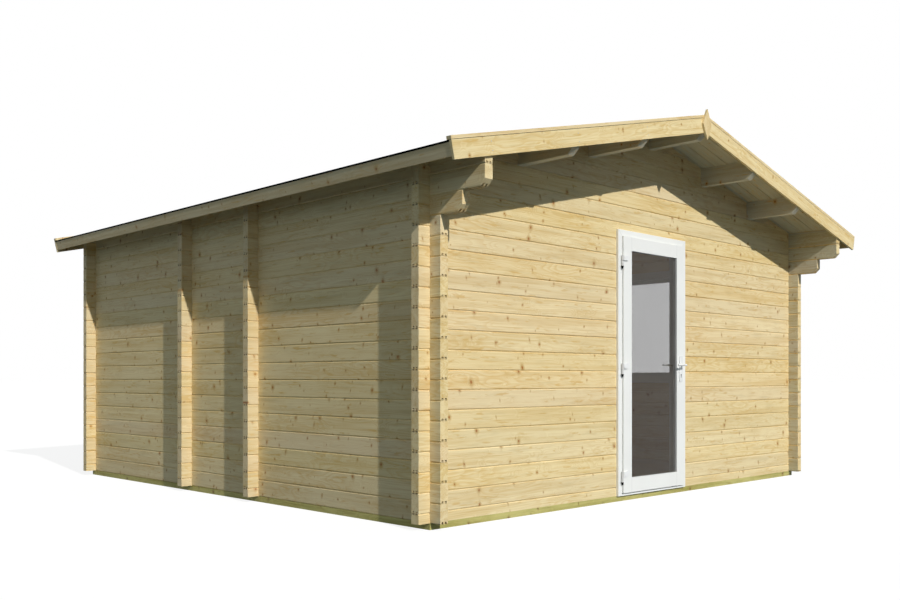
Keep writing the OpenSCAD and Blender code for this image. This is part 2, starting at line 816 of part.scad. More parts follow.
module door_rails() {
    color(paint) {
        translate([0, 0, 2 * sight_z0]) mirror([0, 0, 1]) leaf_rail(sight_z0, bottom_rail_h);
        difference() {
            leaf_rail(sight_z1, top_rail_h);
            lap_cut();
        }
    }
}

module door_glass() { double_pane(sight_x, sight_z0, sight_z1, leaf_front); }

module door_beads() {
    color(paint) translate([0, leaf_front, 0])
        mitred(leaf_x, sight_z0 - stile_w, sight_z1 + stile_w, stile_w,
            bead_section(stile_w, leaf_t));
}

// Frame halves: lower barrel with its pin, a lug to the frame and a pointed cap
module hinge_frame_halves() {
    color(paint)
        for (z = hinge_z) translate([hinge_x, hinge_y, z]) {
            translate([0, 0, -hinge_h / 2]) cylinder(r = barrel_r, h = (hinge_h - knuckle_gap) / 2);
            translate([0, 0, -hinge_h / 2 - hinge_tip])
                cylinder(r1 = barrel_r / 3, r2 = barrel_r, h = hinge_tip);
            translate([0, 0, -knuckle_gap])
                cylinder(r = pin_r, h = hinge_h / 2 - pin_cover);
            translate([-barrel_r / 2, 0, -hinge_h / 2 + arris])
                cube([barrel_r, hinge_proud, hinge_h / 2 - 2 * arris]);
        }
}

// Leaf halves: upper barrel with the pin's bore and a plate on the leaf
module hinge_leaf_halves() {
    reach = hinge_out + hinge_plate_w;
    back = leaf_front - hinge_y;
    color(paint)
        for (z = hinge_z) translate([hinge_x, hinge_y, z]) difference() {
            union() {
                translate([0, 0, knuckle_gap / 2])
                    cylinder(r = barrel_r, h = (hinge_h - knuckle_gap) / 2);
                translate([0, back, hinge_h / 2 - hinge_plate_h - arris]) rotate([90, 0, 0])
                    linear_extrude(hinge_plate_t) {
                        translate([0, hinge_plate_r]) square([reach, hinge_plate_h - hinge_plate_r]);
                        square([reach - hinge_plate_r, hinge_plate_h]);
                        translate([reach - hinge_plate_r, hinge_plate_r]) circle(r = hinge_plate_r);
                    }
            }
            translate([0, 0, -1])
                cylinder(r = pin_r + pin_fit, h = hinge_h / 2 - pin_cover + knuckle_gap + 1);
        }
}

// A handle plate with round corners, a hole for the spindle and one for the lock cylinder
module handle_plate() {
    z0 = -plate_drop;
    linear_extrude(plate_t) difference() {
        union() {
            translate([-plate_w / 2 + plate_r, z0]) square([plate_w - 2 * plate_r, plate_h]);
            translate([-plate_w / 2, z0 + plate_r]) square([plate_w, plate_h - 2 * plate_r]);
            for (x = [-1, 1], z = [z0 + plate_r, z0 + plate_h - plate_r])
                translate([x * (plate_w / 2 - plate_r), z]) circle(r = plate_r);
        }
        circle(r = spindle_r + spindle_room / 2);
        translate([0, -lock_drop]) circle(r = lock_r);
        translate([-lock_w / 2, -lock_drop + lock_r - lock_h]) square([lock_w, lock_h - lock_r]);
    }
}

module handle_plates() {
    color(paint) {
        translate([handle_x, leaf_front, handle_z]) rotate([90, 0, 0]) handle_plate();
        translate([handle_x, leaf_front + leaf_t + plate_t, handle_z]) rotate([90, 0, 0])
            handle_plate();
    }
}

// A lever with its neck and collar, in front of a plate's face at y = 0
module lever() {
    translate([0, -lever_out, 0]) {
        sphere(r = neck_r);
        rotate([-90, 0, 0]) cylinder(r = neck_r, h = lever_out - fit);
        rotate([0, -90, 0]) cylinder(r = lever_r, h = lever_l - lever_r);
        translate([-lever_l + lever_r, 0, 0]) sphere(r = lever_r);
    }
    translate([0, -fit - collar_h, 0]) rotate([-90, 0, 0]) cylinder(r = collar_r, h = collar_h);
}

// Both levers on one spindle
module door_levers() {
    reach = leaf_t / 2 + plate_t;
    color(paint) translate([handle_x, leaf_front + leaf_t / 2, handle_z]) {
        for (side = [0, 1]) mirror([0, side, 0]) translate([0, -reach, 0]) lever();
        translate([0, -reach - collar_h, 0]) rotate([-90, 0, 0])
            cylinder(r = spindle_r, h = 2 * (reach + collar_h));
    }
}

// ---- window ----

// Turns what faces the front into the window's place in the right wall
module in_right_wall() {
    translate([right_x, window_c, 0]) rotate([0, 0, 90]) children();
}

sash_a = window_w / 2 - frame_face;
sash_y = -casing_t - leaf_proud;
sash_z0 = window_bottom + frame_face;
sash_z1 = window_top - frame_face;

module window_frame() {
    color(paint) in_right_wall() difference() {
        mitred(window_w / 2, window_bottom, window_top, jamb_w + stop_w,
            frame_section(sash_y + sash_t + fit));
        mitre_grooves(window_w / 2, window_bottom, window_top);
    }
}

module window_sash() {
    color(paint) in_right_wall() translate([0, sash_y, 0])
        mitred(sash_a, sash_z0, sash_z1, sash_w, sash_section(sash_w, sash_t));
}

module window_glass() {
    in_right_wall() double_pane(sash_a - sash_w, sash_z0 + sash_w, sash_z1 - sash_w, sash_y);
}

module window_beads() {
    color(paint) in_right_wall() translate([0, sash_y, 0])
        mitred(sash_a, sash_z0, sash_z1, sash_w, bead_section(sash_w, sash_t));
}

bearer_front();
bearer_rear();
bearer_left();
bearer_right();
floor_joists();
floor();
left_wall();
left_wall_corbels();
right_wall_low();
right_wall_front();
right_wall_rear();
right_wall_corbels();
front_wall_left();
front_wall_right();
front_gable();
rear_wall();
cross_stack_front();
cross_stack_rear();
ridge_purlin();
upper_purlins();
lower_purlins();
roof_boards_left();
roof_boards_right();
roofing_felt();
verge_boards_front();
verge_boards_rear();
verge_caps_front();
verge_caps_rear();
eave_board_left();
eave_board_right();
finial_front();
finial_rear();
door_frame();
door_threshold();
hinge_frame_halves();
door_stiles();
door_rails();
door_glass();
door_beads();
hinge_leaf_halves();
handle_plates();
door_levers();
window_frame();
window_sash();
window_glass();
window_beads();
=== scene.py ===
# %% [markdown]
# # A garden house of notched logs
#
# The house arrives as a frame of solid pieces: wall logs, purlins, roof boards, a glazed
# door with its hinges and lever, and a window. This lesson gives those pieces their finish,
# and models what a joiner adds to them: single roof and floor boards, sheets of felt, rubber
# seals, screws and the small hardware of the door and the window.
#
# Everything is in metres. +X is right, +Y goes to the rear and +Z is up.

import json
import math

import bpy
from mathutils import Matrix, Vector


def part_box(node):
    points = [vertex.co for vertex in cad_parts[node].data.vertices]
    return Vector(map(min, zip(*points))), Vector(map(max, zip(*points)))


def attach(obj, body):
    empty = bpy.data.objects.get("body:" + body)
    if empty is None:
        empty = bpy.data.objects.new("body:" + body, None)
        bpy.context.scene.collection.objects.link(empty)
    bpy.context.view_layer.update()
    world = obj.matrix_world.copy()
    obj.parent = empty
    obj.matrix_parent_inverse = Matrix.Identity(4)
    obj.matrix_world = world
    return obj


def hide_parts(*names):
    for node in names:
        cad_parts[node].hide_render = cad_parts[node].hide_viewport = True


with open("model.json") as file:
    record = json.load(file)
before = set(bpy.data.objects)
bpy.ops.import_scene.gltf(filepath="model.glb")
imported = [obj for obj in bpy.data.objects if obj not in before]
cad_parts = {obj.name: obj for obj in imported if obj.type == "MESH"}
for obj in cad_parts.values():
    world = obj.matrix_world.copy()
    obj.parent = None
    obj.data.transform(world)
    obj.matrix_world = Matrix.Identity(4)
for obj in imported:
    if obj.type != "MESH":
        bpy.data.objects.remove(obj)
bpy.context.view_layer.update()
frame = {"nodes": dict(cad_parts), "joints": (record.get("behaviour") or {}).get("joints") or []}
bpy.ops.object.select_all(action="DESELECT")
print("nodes in the frame:", len(frame["nodes"]))

# %% [markdown]
# The sizes that the finishes need are read from the frame wherever a piece gives them. The
# log courses, the slope of the roof, the boards' thickness and the slack between pieces are
# the few that no box gives, so they are written once here.

# %% Measures of the house
COURSE = 0.135
SIDE_SEAM = 0.045
CROSS_SEAM = -0.0225
PITCH = math.radians(13.31)
BOARD_T = 0.019
SLACK = 0.0003


def middle(node, axis):
    """The middle of a node's box along an axis."""
    low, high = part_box(node)
    return (low[axis] + high[axis]) / 2


slab_low, slab_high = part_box("roof_boards_right")
RIDGE_Z = slab_high.z - BOARD_T / math.cos(PITCH)
ROOF_Y0, ROOF_Y1 = slab_low.y, slab_high.y
print(f"ridge of the boards' underside at {RIDGE_Z:.4f} m")

# %% [markdown]
# ## A way to write shader maths
#
# Wiring dozens of Math nodes by hand hides what they work out. A small class that wraps a
# socket lets an ordinary expression add the nodes, so a pattern reads like its formula.


# %% Sockets that can be added and multiplied
class Wire:
    """A shader socket. Arithmetic on it adds Math nodes to the same tree."""

    def __init__(self, tree, socket):
        self.tree = tree
        self.socket = socket

    def math(self, operation, *others):
        node = self.tree.nodes.new("ShaderNodeMath")
        node.operation = operation
        for i, value in enumerate((self, *others)):
            plug(self.tree, node.inputs[i], value)
        return Wire(self.tree, node.outputs[0])

    def __add__(self, other):
        return self.math("ADD", other)

    __radd__ = __add__

    def __sub__(self, other):
        return self.math("SUBTRACT", other)

    def __rsub__(self, other):
        return (self * -1).math("ADD", other)

    def __mul__(self, other):
        return self.math("MULTIPLY", other)

    __rmul__ = __mul__

    def __truediv__(self, other):
        return self.math("DIVIDE", other)

    def __neg__(self):
        return self * -1

    def __abs__(self):
        return self.math("ABSOLUTE")

    def floor(self):
        return self.math("FLOOR")

    def fraction(self):
        return self.math("FRACT")

    def above(self, edge):
        return self.math("GREATER_THAN", edge)


def plug(tree, socket, value):
    """Links a wire to a socket, or sets the socket to a plain value."""
    if isinstance(value, Wire):
        tree.links.new(value.socket, socket)
    else:
        socket.default_value = value


# %% [markdown]
# A finish is a material while it is being built. Every other kind of node comes from one
# method, which takes the node's type, its settings and what goes into its sockets. The
# methods after it are short names for the nodes that most of the finishes use.


# %% A finish and its nodes
class Finish:
    """A material under construction."""

    def __init__(self, name):
        self.material = bpy.data.materials.new(name)
        self.material.use_nodes = True
        self.tree = self.material.node_tree
        self.tree.nodes.clear()

    def node(self, kind, settings=None, sockets=None, out=0):
        """One node: its settings first, then its sockets; a ramp's stops are a setting."""
        node = self.tree.nodes.new("ShaderNode" + kind)
        for key, value in (settings or {}).items():
            if key == "stops":
                for stop, (position, colour) in zip(self.stops(node, len(value)), value):
                    stop.position = position
                    stop.color = (*colour, 1)
            else:
                setattr(node, key, value)
        for key, value in (sockets or {}).items():
            plug(self.tree, node.inputs[key], value)
        return Wire(self.tree, node.outputs[out])

    @staticmethod
    def stops(node, count):
        elements = node.color_ramp.elements
        while len(elements) < count:
            elements.new(0.5)
        return elements

    def split(self, kind, value):
        """The three parts of a vector or of a colour."""
        node = self.node("Separate" + kind, {}, {0: value}).socket.node
        return [Wire(self.tree, node.outputs[i]) for i in range(3)]

    def place(self):
        """The point in the piece's own coordinates, as three wires."""
        return self.split("XYZ", self.node("TexCoord", out="Object"))

    def vector(self, x, y, z):
        return self.node("CombineXYZ", {}, {0: x, 1: y, 2: z})

    def noise(self, x, y, z, detail=2.0, roughness=0.5):
        """Smooth noise from 0 to 1 at scale 1 of the given coordinates."""
        sockets = {"Vector": self.vector(x, y, z), "Scale": 1.0, "Detail": detail,
                   "Roughness": roughness}
        return self.node("TexNoise", {"noise_dimensions": "3D"}, sockets)

    def mix(self, factor, a, b, blend="MIX"):
        settings = {"data_type": "RGBA", "blend_type": blend, "clamp_factor": True}
        return self.node("Mix", settings, {0: factor, 6: a, 7: b}, out=2)

    def ramp(self, factor, low, high):
        """0 where factor is at low, 1 where it is at high, and smooth between."""
        settings = {"interpolation_type": "SMOOTHSTEP"}
        return self.node("MapRange", settings, {0: factor, 1: low, 2: high, 3: 0.0, 4: 1.0})

    def surface(self, sockets, bump=None, distance=0.001, strength=1.0):
        """The Principled shader as this material's surface."""
        if bump is not None:
            relief = {"Height": bump, "Distance": distance, "Strength": strength}
            sockets = dict(sockets, Normal=self.node("Bump", {}, relief))
        self.finish(self.node("BsdfPrincipled", {}, sockets))

    def finish(self, shader):
        output = self.tree.nodes.new("ShaderNodeOutputMaterial")
        self.tree.links.new(shader.socket, output.inputs["Surface"])


def rgb(red, green, blue):
    return (red, green, blue, 1.0)


# %% [markdown]
# ## Planed spruce
#
# The logs are planed spruce: pale straw yellow, with soft streaks along the log, arched
# growth rings where the saw met them flat, and many small red-brown knots, some of them
# cut lengthwise into short upright dashes. The pattern could be painted on each face, but
# then the ends of the logs would not match their sides. Worked out in three dimensions, the
# rings are cylinders round a pith that wanders through the log, so a face shows arches and an
# end shows arcs, all from one formula.
#
# Each log gets a number from its course, which moves its pith, its knots and its tone, so
# that no two logs are alike.


# %% The colours of spruce and its knots
SPRUCE = {
    "early": rgb(0.845, 0.700, 0.410),
    "late": rgb(0.690, 0.510, 0.235),
    "stain": rgb(0.600, 0.470, 0.245),
    "resin": rgb(0.640, 0.400, 0.110),
    "halo": rgb(0.545, 0.345, 0.125),
    "knot": rgb(0.340, 0.115, 0.034),
}
# One knot at most lies in a cell of this size, and this share of the cells has one.
BIG_KNOTS = {"cell": (0.42, 0.085), "share": 0.34, "size": 0.0100, "stretch": 0.4}
PIN_KNOTS = {"cell": (0.30, 0.070), "share": 0.26, "size": 0.0058, "stretch": 1.6}


def knots(m, along, across, seed, plenty, cell, share, size, stretch):
    """Masks of the knots, of the stained wood round them and of their branches."""
    x = along / cell[0] + seed * 3.7
    y = across / cell[1] + seed * 5.3
    cells = m.node("TexVoronoi", {"voronoi_dimensions": "2D"},
                   {"Vector": m.vector(x, y, 0.0), "Scale": 1.0, "Randomness": 0.95})
    outputs = cells.socket.node.outputs
    chance, bulk, slant = m.split("Color", Wire(m.tree, outputs["Color"]))
    centre_x, centre_y, _ = m.split("XYZ", Wire(m.tree, outputs["Position"]))
    dx = (x - centre_x) * cell[0]
    dy = (y - centre_y) * cell[1]
    there = chance.above(1 - share * plenty)
    radius = size * (0.45 + 0.55 * bulk * bulk)
    dx = (dx + dy * (slant - 0.5) * 0.5) / radius
    dy = dy / radius
    fray = m.noise(x * 30.0, y * 14.0, seed, detail=2.0) - 0.5
    tall = dy / (1 + stretch * slant * slant)
    distance = (dx * dx + tall * tall).math("SQRT")
    core = m.ramp(distance + fray * 0.5, 1.30, 0.45) * there
    halo = m.ramp(distance + fray * 2.5, 4.8, 0.6) * there
    branch = m.ramp(abs(dx + fray * 1.5), 1.8, 0.1) * m.ramp(abs(dy), 7.0, 1.0) * there * bulk
    return core, halo, branch


# %% [markdown]
# The pattern takes its coordinates from four small functions: along the grain, across it,
# into the depth, and the number of the timber. So the same spruce serves every direction.


# %% The spruce pattern
RING_PITCH = 0.0095


def spruce(name, along, across, depth, seed, colours=SPRUCE, pale=0.0, knotty=1.0, tint=None):
    """Planed spruce. along, across, depth, seed and tint work on a Finish and a place."""
    m = Finish(name)
    place = m.place()
    a, c, d, number = [f(m, *place) for f in (along, across, depth, seed)]
    luck = m.split("Color", m.node("TexWhiteNoise", {"noise_dimensions": "1D"}, {"W": number},
                                   out="Color"))
    shift = a + number * 2.37

    big, halo, branch = knots(m, a, c, number, knotty, **BIG_KNOTS)
    pin, pin_halo, twig = knots(m, a, c, number + 40.5, knotty, **PIN_KNOTS)

    wander = m.noise(shift * 0.55, number, 0.5, detail=1.0)
    sway = m.noise(shift * 0.8, number, 7.5, detail=1.0)
    pith_across = (luck[0] - 0.5) * 0.10 + (wander - 0.5) * 0.12
    pith_depth = (luck[1] - 0.5) * 0.06 + (sway - 0.5) * 0.06
    da = c - pith_across
    dd = d - pith_depth
    ripple = m.noise(shift * 2.4, c * 26.0, d * 26.0, detail=2.0)
    swell = m.ramp(m.noise(shift * 5.0, c * 9.0, d * 9.0, detail=1.0), 0.52, 0.80)
    radius = (da * da + dd * dd).math("SQRT") + ripple * 0.012 + swell * 0.050 + halo * 0.010
    rings = (radius / RING_PITCH).fraction()
    rings = m.ramp(rings, 0.10, 0.92) * m.ramp(rings, 1.0, 0.92)
    streaks = m.noise(shift * 2.2, c * 85.0, d * 85.0, detail=2.0, roughness=0.6)
    bands = m.noise(shift * 0.9, c * 19.0, d * 19.0, detail=2.0)
    fibres = m.noise(shift * 14.0, c * 520.0, d * 520.0, detail=2.0)
    clouds = m.noise(shift * 2.6, c * 20.0, number, detail=3.0, roughness=0.6)
    veins = m.noise(shift * 7.0, c * 95.0 + clouds * 9.0, d * 95.0, detail=1.0)

    hill = m.noise(shift * 2.1, c * 11.0 + number, d * 6.0, detail=1.0)
    loops = (hill * 10.0).fraction()
    loops = m.ramp(loops, 0.25, 0.92) * m.ramp(loops, 1.0, 0.92)
    arched = m.ramp(m.noise(shift * 0.9, number * 3.1, 2.2, detail=1.0), 0.46, 0.62)

    late = (rings * (0.16 + 0.34 * luck[2]) + m.ramp(streaks, 0.50, 0.74) * 0.50
            + m.ramp(bands, 0.42, 0.68) * 0.50 + swell * 0.20)
    colour = m.mix(late - pale, colours["early"], colours["late"])
    colour = m.mix(m.ramp(clouds, 0.48, 0.76) * 0.44, colour, colours["stain"])
    colour = m.mix(m.ramp(veins, 0.58, 0.70) * m.ramp(clouds, 0.42, 0.60) * 0.62, colour,
                   colours["resin"])
    colour = m.mix(loops * arched * 0.34, colour, colours["resin"])
    colour = m.mix(m.ramp(fibres, 0.55, 0.85) * 0.12, colour, colours["stain"])
    stain = (halo * halo * 0.95).math("MAXIMUM", pin_halo * pin_halo * 0.65)
    stain = stain.math("MAXIMUM", branch * 0.55).math("MAXIMUM", twig * 0.40)
    colour = m.mix(stain, colour, colours["halo"])
    core = (big * 0.84).math("MAXIMUM", pin * 0.58)
    colour = m.mix(core, colour, colours["knot"])
    tone = m.node("HueSaturation", {}, {
        "Hue": 0.5 + (luck[1] - 0.5) * 0.006,
        "Saturation": 1.0 + (luck[0] - 0.5) * 0.12,
        "Value": 1.0 + (luck[2] - 0.5) * 0.10,
        "Color": colour,
    })
    if tint is not None:
        tone = tint(m, tone, *place)
    rough = 0.62 - core * 0.12
    relief = fibres * 0.35 + rings * 0.35 - core * 0.5
    m.surface({"Base Color": tone, "Roughness": rough, "Specular IOR Level": 0.25},
              bump=relief, distance=0.0006, strength=0.5)
    return m.material


# %% [markdown]
# ## The walls
#
# A wall along X and a wall along Y need the same wood turned by a quarter. The course number
# comes from the height, counted from that wall's lowest seam: the front and rear walls lie
# half a course lower than the side walls, because the logs cross at half their height.
#
# Two tints of painted light go over the wood. The grooves in the ends of the logs get painted
# shade. Where the side walls' logs pass the front corner, their left flank gets a cooler painted
# tint, which stands in for light that comes more from the sky than from sunlit wood.


# %% Logs of one wall
# A darker copy of the spruce: painted shade on the rear wall, the stacks and the eave boards.
SHADED_SPRUCE = dict(SPRUCE, early=rgb(0.770, 0.640, 0.390), late=rgb(0.640, 0.485, 0.240))
# Colour, bands and reach of the painted shade in the grooves at the logs' ends.
GROOVE_SHADE_TINT = rgb(0.30, 0.28, 0.25)
GROOVE_HALF = 0.025
GROOVE_BAND = (0.0075, 0.0030)
SIDE_GROOVE_BAND, SIDE_GROOVE_SHARE = (0.0110, 0.0085), 0.55
FLANK_DEPTH = 0.034
FRONT_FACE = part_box("front_wall_left")[0].y


def log_finish(name, axis, seam, centre, series, colours, knotty, flank_light):
    """Spruce for stacked logs that run along an axis, with their middle plane at centre."""

    def course(m, x, y, z):
        return ((z - seam) / COURSE).floor().math("MAXIMUM", 0.0) + series

    def along(m, x, y, z):
        return (x, y)[axis]

    def across(m, x, y, z):
        return ((z - seam) / COURSE).fraction() * COURSE - COURSE / 2

    def depth(m, x, y, z):
        return (y, x)[axis] - centre

    def tint(m, colour, x, y, z):
        """Painted shade in the grooves; past the corner, painted cool light on the flank."""
        rise = across(m, x, y, z)
        deep = abs(depth(m, x, y, z))
        if axis == 0:
            edges = [COURSE / 2 - band for band in GROOVE_BAND]
            groove_shade = m.ramp(abs(rise), *edges)
        else:
            edges = [COURSE / 2 - band for band in SIDE_GROOVE_BAND]
            groove_shade = m.ramp(-rise, *edges) * SIDE_GROOVE_SHARE
        groove_shade = groove_shade * m.ramp(deep, 0.002, 0.008) * (1 - deep.above(GROOVE_HALF))
        # Painted shade in the grooves at the ends of the logs.
        colour = m.mix(groove_shade, colour, GROOVE_SHADE_TINT, "MULTIPLY")
        if flank_light is None:
            return colour
        # Painted light: past the front corner the left flank is tinted cooler.
        past = (1 - y.above(FRONT_FACE)) * (1 - depth(m, x, y, z).above(-FLANK_DEPTH))
        return m.mix(past, colour, flank_light, "MULTIPLY")

    return spruce(name, along, across, depth, course, colours, knotty=knotty, tint=tint)


def paint_nodes(material, *nodes):
    """Gives pieces of the frame their finish."""
    for node in nodes:
        for slot in frame["nodes"][node].material_slots:
            slot.material = material


# %% [markdown]
# The rear wall and the stacks take a darker copy of the spruce, painted shade that takes back
# some of the light bouncing onto them. Each entry below gives a wall's axis, its seam, the
# first of its numbers and its pieces.

# %% Finish the walls
SIDE_KNOTTY = 1.35
# Cooler tints painted on the flanks past the front corner, standing in for light.
PAINTED_FLANK_LIGHT = {"left_logs": rgb(0.96, 1.01, 1.12), "right_logs": rgb(0.77, 0.88, 1.15)}
WALLS = [
    ("front_logs", 0, CROSS_SEAM, 100, ["front_wall_left", "front_wall_right", "front_gable"]),
    ("rear_logs", 0, CROSS_SEAM, 200, ["rear_wall"]),
    ("front_stack_logs", 0, CROSS_SEAM, 300, ["cross_stack_front"]),
    ("rear_stack_logs", 0, CROSS_SEAM, 400, ["cross_stack_rear"]),
    ("left_logs", 1, SIDE_SEAM, 500, ["left_wall"]),
    ("left_corbel_logs", 1, SIDE_SEAM, 500, ["left_wall_corbels"]),
    ("right_logs", 1, SIDE_SEAM, 600,
     ["right_wall_low", "right_wall_front", "right_wall_rear", "right_wall_corbels"]),
]
for name, axis, seam, series, nodes in WALLS:
    colours = SHADED_SPRUCE if name.startswith("rear") or "stack" in name else SPRUCE
    material = log_finish(name, axis, seam, middle(nodes[0], 1 - axis), series, colours,
                          SIDE_KNOTTY if axis == 1 else 1.0, PAINTED_FLANK_LIGHT.get(name))
    paint_nodes(material, *nodes)
print("groups of logs finished:", len(WALLS))

# %% [markdown]
# ## Purlins, verges, eaves and bearers
#
# The other timbers are single pieces, so their number comes from where they lie and not from
# a course. On the verges the grain follows the slope, which needs the place turned by the
# roof's pitch. Measuring from the ridge outwards on both sides also mirrors the two slopes.


# %% Places on the slopes and numbers of timbers
def slope_run(m, x, y, z):
    """How far down the slope a place lies, counted from the ridge."""
    return abs(x) * math.cos(PITCH) - (z - RIDGE_Z) * math.sin(PITCH)


def slope_rise(m, x, y, z):
    """How far above the boards' underside a place lies, square to the slope."""
    return abs(x) * math.sin(PITCH) + (z - RIDGE_Z) * math.cos(PITCH)


def number_from(scale, series):
    """A timber's number from its place, counted on from the first of a series."""
    def number(m, x, y, z):
        return (x * scale[0] + y * scale[1] + z * scale[2] + 0.5).floor() + series
    return number


def take(axis, offset=0.0):
    """One coordinate of the place, counted from an offset."""
    def coordinate(m, x, y, z):
        return (x, y, z)[axis] - offset
    return coordinate


# %% [markdown]
# The purlins lie in the shade of the roof. Their spruce is a darker, greyer copy: painted
# shade that takes back the warm light bouncing onto them.

# %% Single timbers
purlin_mid_z = middle("upper_purlins", 2)
# A darker, greyer spruce for the purlins: painted shade.
SHADED_PURLIN_SPRUCE = dict(SPRUCE, early=rgb(0.640, 0.608, 0.480), late=rgb(0.530, 0.462, 0.310),
                     stain=rgb(0.460, 0.415, 0.285))
purlin_wood = spruce("purlin_wood", take(1), take(2, purlin_mid_z), take(0),
                     number_from((1.2, 0, 0), 700), SHADED_PURLIN_SPRUCE)
paint_nodes(purlin_wood, "ridge_purlin", "upper_purlins", "lower_purlins")

# A board's name, its middle above the boards' underside, its pith's depth, series and knots.
VERGES = [("verge_boards_front", -0.040, 0.05, 720, 0.8),
          ("verge_boards_rear", -0.040, 0.05, 730, 0.8),
          ("verge_caps_front", 0.034, 0.04, 740, 0.5),
          ("verge_caps_rear", 0.034, 0.04, 750, 0.5)]
for node, rise, pith, series, knotty in VERGES:
    verge_wood = spruce(node + "_wood", slope_run,
                        lambda m, x, y, z: slope_rise(m, x, y, z) - rise,
                        take(1, middle(node, 1) + pith), number_from((0.15, 0, 0), series),
                        pale=0.10, knotty=knotty)
    paint_nodes(verge_wood, node)

# The eave boards lie in shade and take the darker spruce as painted shade.
eave_wood = spruce("eave_wood", take(1), take(2, middle("eave_board_left", 2)), take(0),
                   number_from((0.15, 0, 0), 760), SHADED_SPRUCE, knotty=0.8)
paint_nodes(eave_wood, "eave_board_left", "eave_board_right")
finial_wood = spruce("finial_wood", take(2, 1.0), take(0), take(1), number_from((0, 0.1, 0), 780),
                     pale=0.05, knotty=0.3)
paint_nodes(finial_wood, "finial_front", "finial_rear")
print(f"purlins along z {purlin_mid_z:.3f} m, verges finished: {len(VERGES)}")

# %% [markdown]
# The bearers lie on the ground and are pressure treated, which turns the same wood a yellow
# green. Only the colours change.

# %% Treated bearers
TREATED = {
    "early": rgb(0.600, 0.545, 0.190),
    "late": rgb(0.350, 0.310, 0.065),
    "stain": rgb(0.240, 0.265, 0.060),
    "resin": rgb(0.330, 0.250, 0.060),
    "halo": rgb(0.300, 0.210, 0.055),
    "knot": rgb(0.160, 0.080, 0.030),
}
bearer_mid_z = middle("bearer_front", 2)
treated_x = spruce("treated_wood_x", take(0), take(2, bearer_mid_z), take(1),
                   number_from((0, 1.5, 0), 800), TREATED)
treated_y = spruce("treated_wood_y", take(1), take(2, bearer_mid_z), take(0),
                   number_from((1.5, 0, 0), 820), TREATED)
paint_nodes(treated_x, "bearer_front", "bearer_rear", "floor_joists")
paint_nodes(treated_y, "bearer_left", "bearer_right")
print(f"bearers' middle at z {bearer_mid_z:.4f} m")

# %% [markdown]
# ## White paint, felt, glass and metal
#
# The door and the window are sprayed with a satin white. It is nearly plain, but a sprayed
# coat still has a faint orange peel and follows the wood a little. On the leaf a fine line
# shows where the rails meet the stiles.


# %% White paint
WHITE = (0.872, 0.876, 0.848)


def painted(name, colour, roughness, peel=0.35, joint=None):
    """Sprayed paint. joint is the half width at which two members meet in a fine line."""
    m = Finish(name)
    x, y, z = m.place()
    grain = m.noise(x * 260.0, y * 260.0, z * 30.0, detail=2.0)
    peel_relief = m.noise(x * 420.0, y * 420.0, z * 420.0, detail=1.0)
    patches = m.noise(x * 3.0, y * 3.0, z * 3.0, detail=2.0)
    dull = rgb(*[c * 0.965 for c in colour])
    tone = m.mix(m.ramp(patches, 0.35, 0.75), rgb(*colour), dull)
    if joint is not None:
        line = 1 - abs(abs(x) - joint).above(0.002)
        tone = m.mix(line * 0.25, tone, rgb(0.2, 0.2, 0.2))
    gloss = roughness + (patches - 0.5) * 0.10
    m.surface({"Base Color": tone, "Roughness": gloss, "Specular IOR Level": 0.4},
              bump=grain * 0.5 + peel_relief * 0.5, distance=0.0004, strength=peel)
    return m.material


white_paint = painted("white_paint", WHITE, 0.38)
paint_nodes(white_paint, "door_frame", "door_threshold", "door_beads", "window_frame",
            "window_sash", "window_beads")
rail_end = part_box("door_rails")[1].x
paint_nodes(painted("leaf_paint", WHITE, 0.38, joint=rail_end), "door_stiles", "door_rails")
handle_white = painted("handle_white", (0.850, 0.855, 0.845), 0.25, peel=0.1)
paint_nodes(handle_white, "handle_plates", "door_levers")
print(f"rails meet the stiles at x {rail_end:.3f} m")

# %% [markdown]
# The felt is grey with grit where it lies open, and black where only its cut edge shows,
# under the capping boards and at the eaves.


# %% Roofing felt
FELT_OPEN_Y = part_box("verge_caps_rear")[0].y
FELT_OPEN_U = 2.957


def felt_finish():
    """Gritty on the open roof, and pure black bitumen along its cut edges."""
    m = Finish("roofing_felt")
    x, y, z = m.place()
    grit = m.noise(x * 900.0, y * 900.0, z * 900.0, detail=3.0, roughness=0.7)
    patches = m.noise(x * 2.2, y * 2.2, z * 2.2, detail=3.0)
    worn = m.ramp(grit, 0.40, 0.72) * 0.6 + m.ramp(patches, 0.35, 0.75) * 0.25
    open_top = (1 - abs(y).above(FELT_OPEN_Y)) * (1 - slope_run(m, x, y, z).above(FELT_OPEN_U))
    tone = m.mix(worn * open_top, rgb(0.012, 0.012, 0.012), rgb(0.115, 0.115, 0.117))
    tone = m.mix(open_top, rgb(0.002, 0.002, 0.002), tone)
    m.surface({"Base Color": tone, "Roughness": 1.0, "Specular IOR Level": 0.0},
              bump=grit, distance=0.0015, strength=0.8)
    return m.material


felt = felt_finish()
paint_nodes(felt, "roofing_felt")
print(f"open felt up to y {FELT_OPEN_Y:.3f} m and {FELT_OPEN_U} m down the slope")

# %% [markdown]
# The panes dim what lies behind them a little, and mirror more where they are seen at a
# slant.


# %% Glass
PANE_TINT = 0.893


def glass_finish():
    """Tinted panes that let the light through and mirror a little at a slant."""
    m = Finish("glass")
    clear = m.node("BsdfTransparent", {}, {"Color": rgb(PANE_TINT, PANE_TINT, PANE_TINT)})
    gloss = m.node("BsdfGlossy", {}, {"Color": rgb(1.0, 1.0, 1.0), "Roughness": 0.02})
    facing = m.node("LayerWeight", {}, {"Blend": 0.5}, out="Facing")
    mirror = facing * facing * facing * 0.13 + 0.010
    m.finish(m.node("MixShader", {}, {0: mirror, 1: clear, 2: gloss}))
    return m.material


paint_nodes(glass_finish(), "door_glass", "window_glass")
print(f"light through four faces of glass: {PANE_TINT ** 4:.2f}")

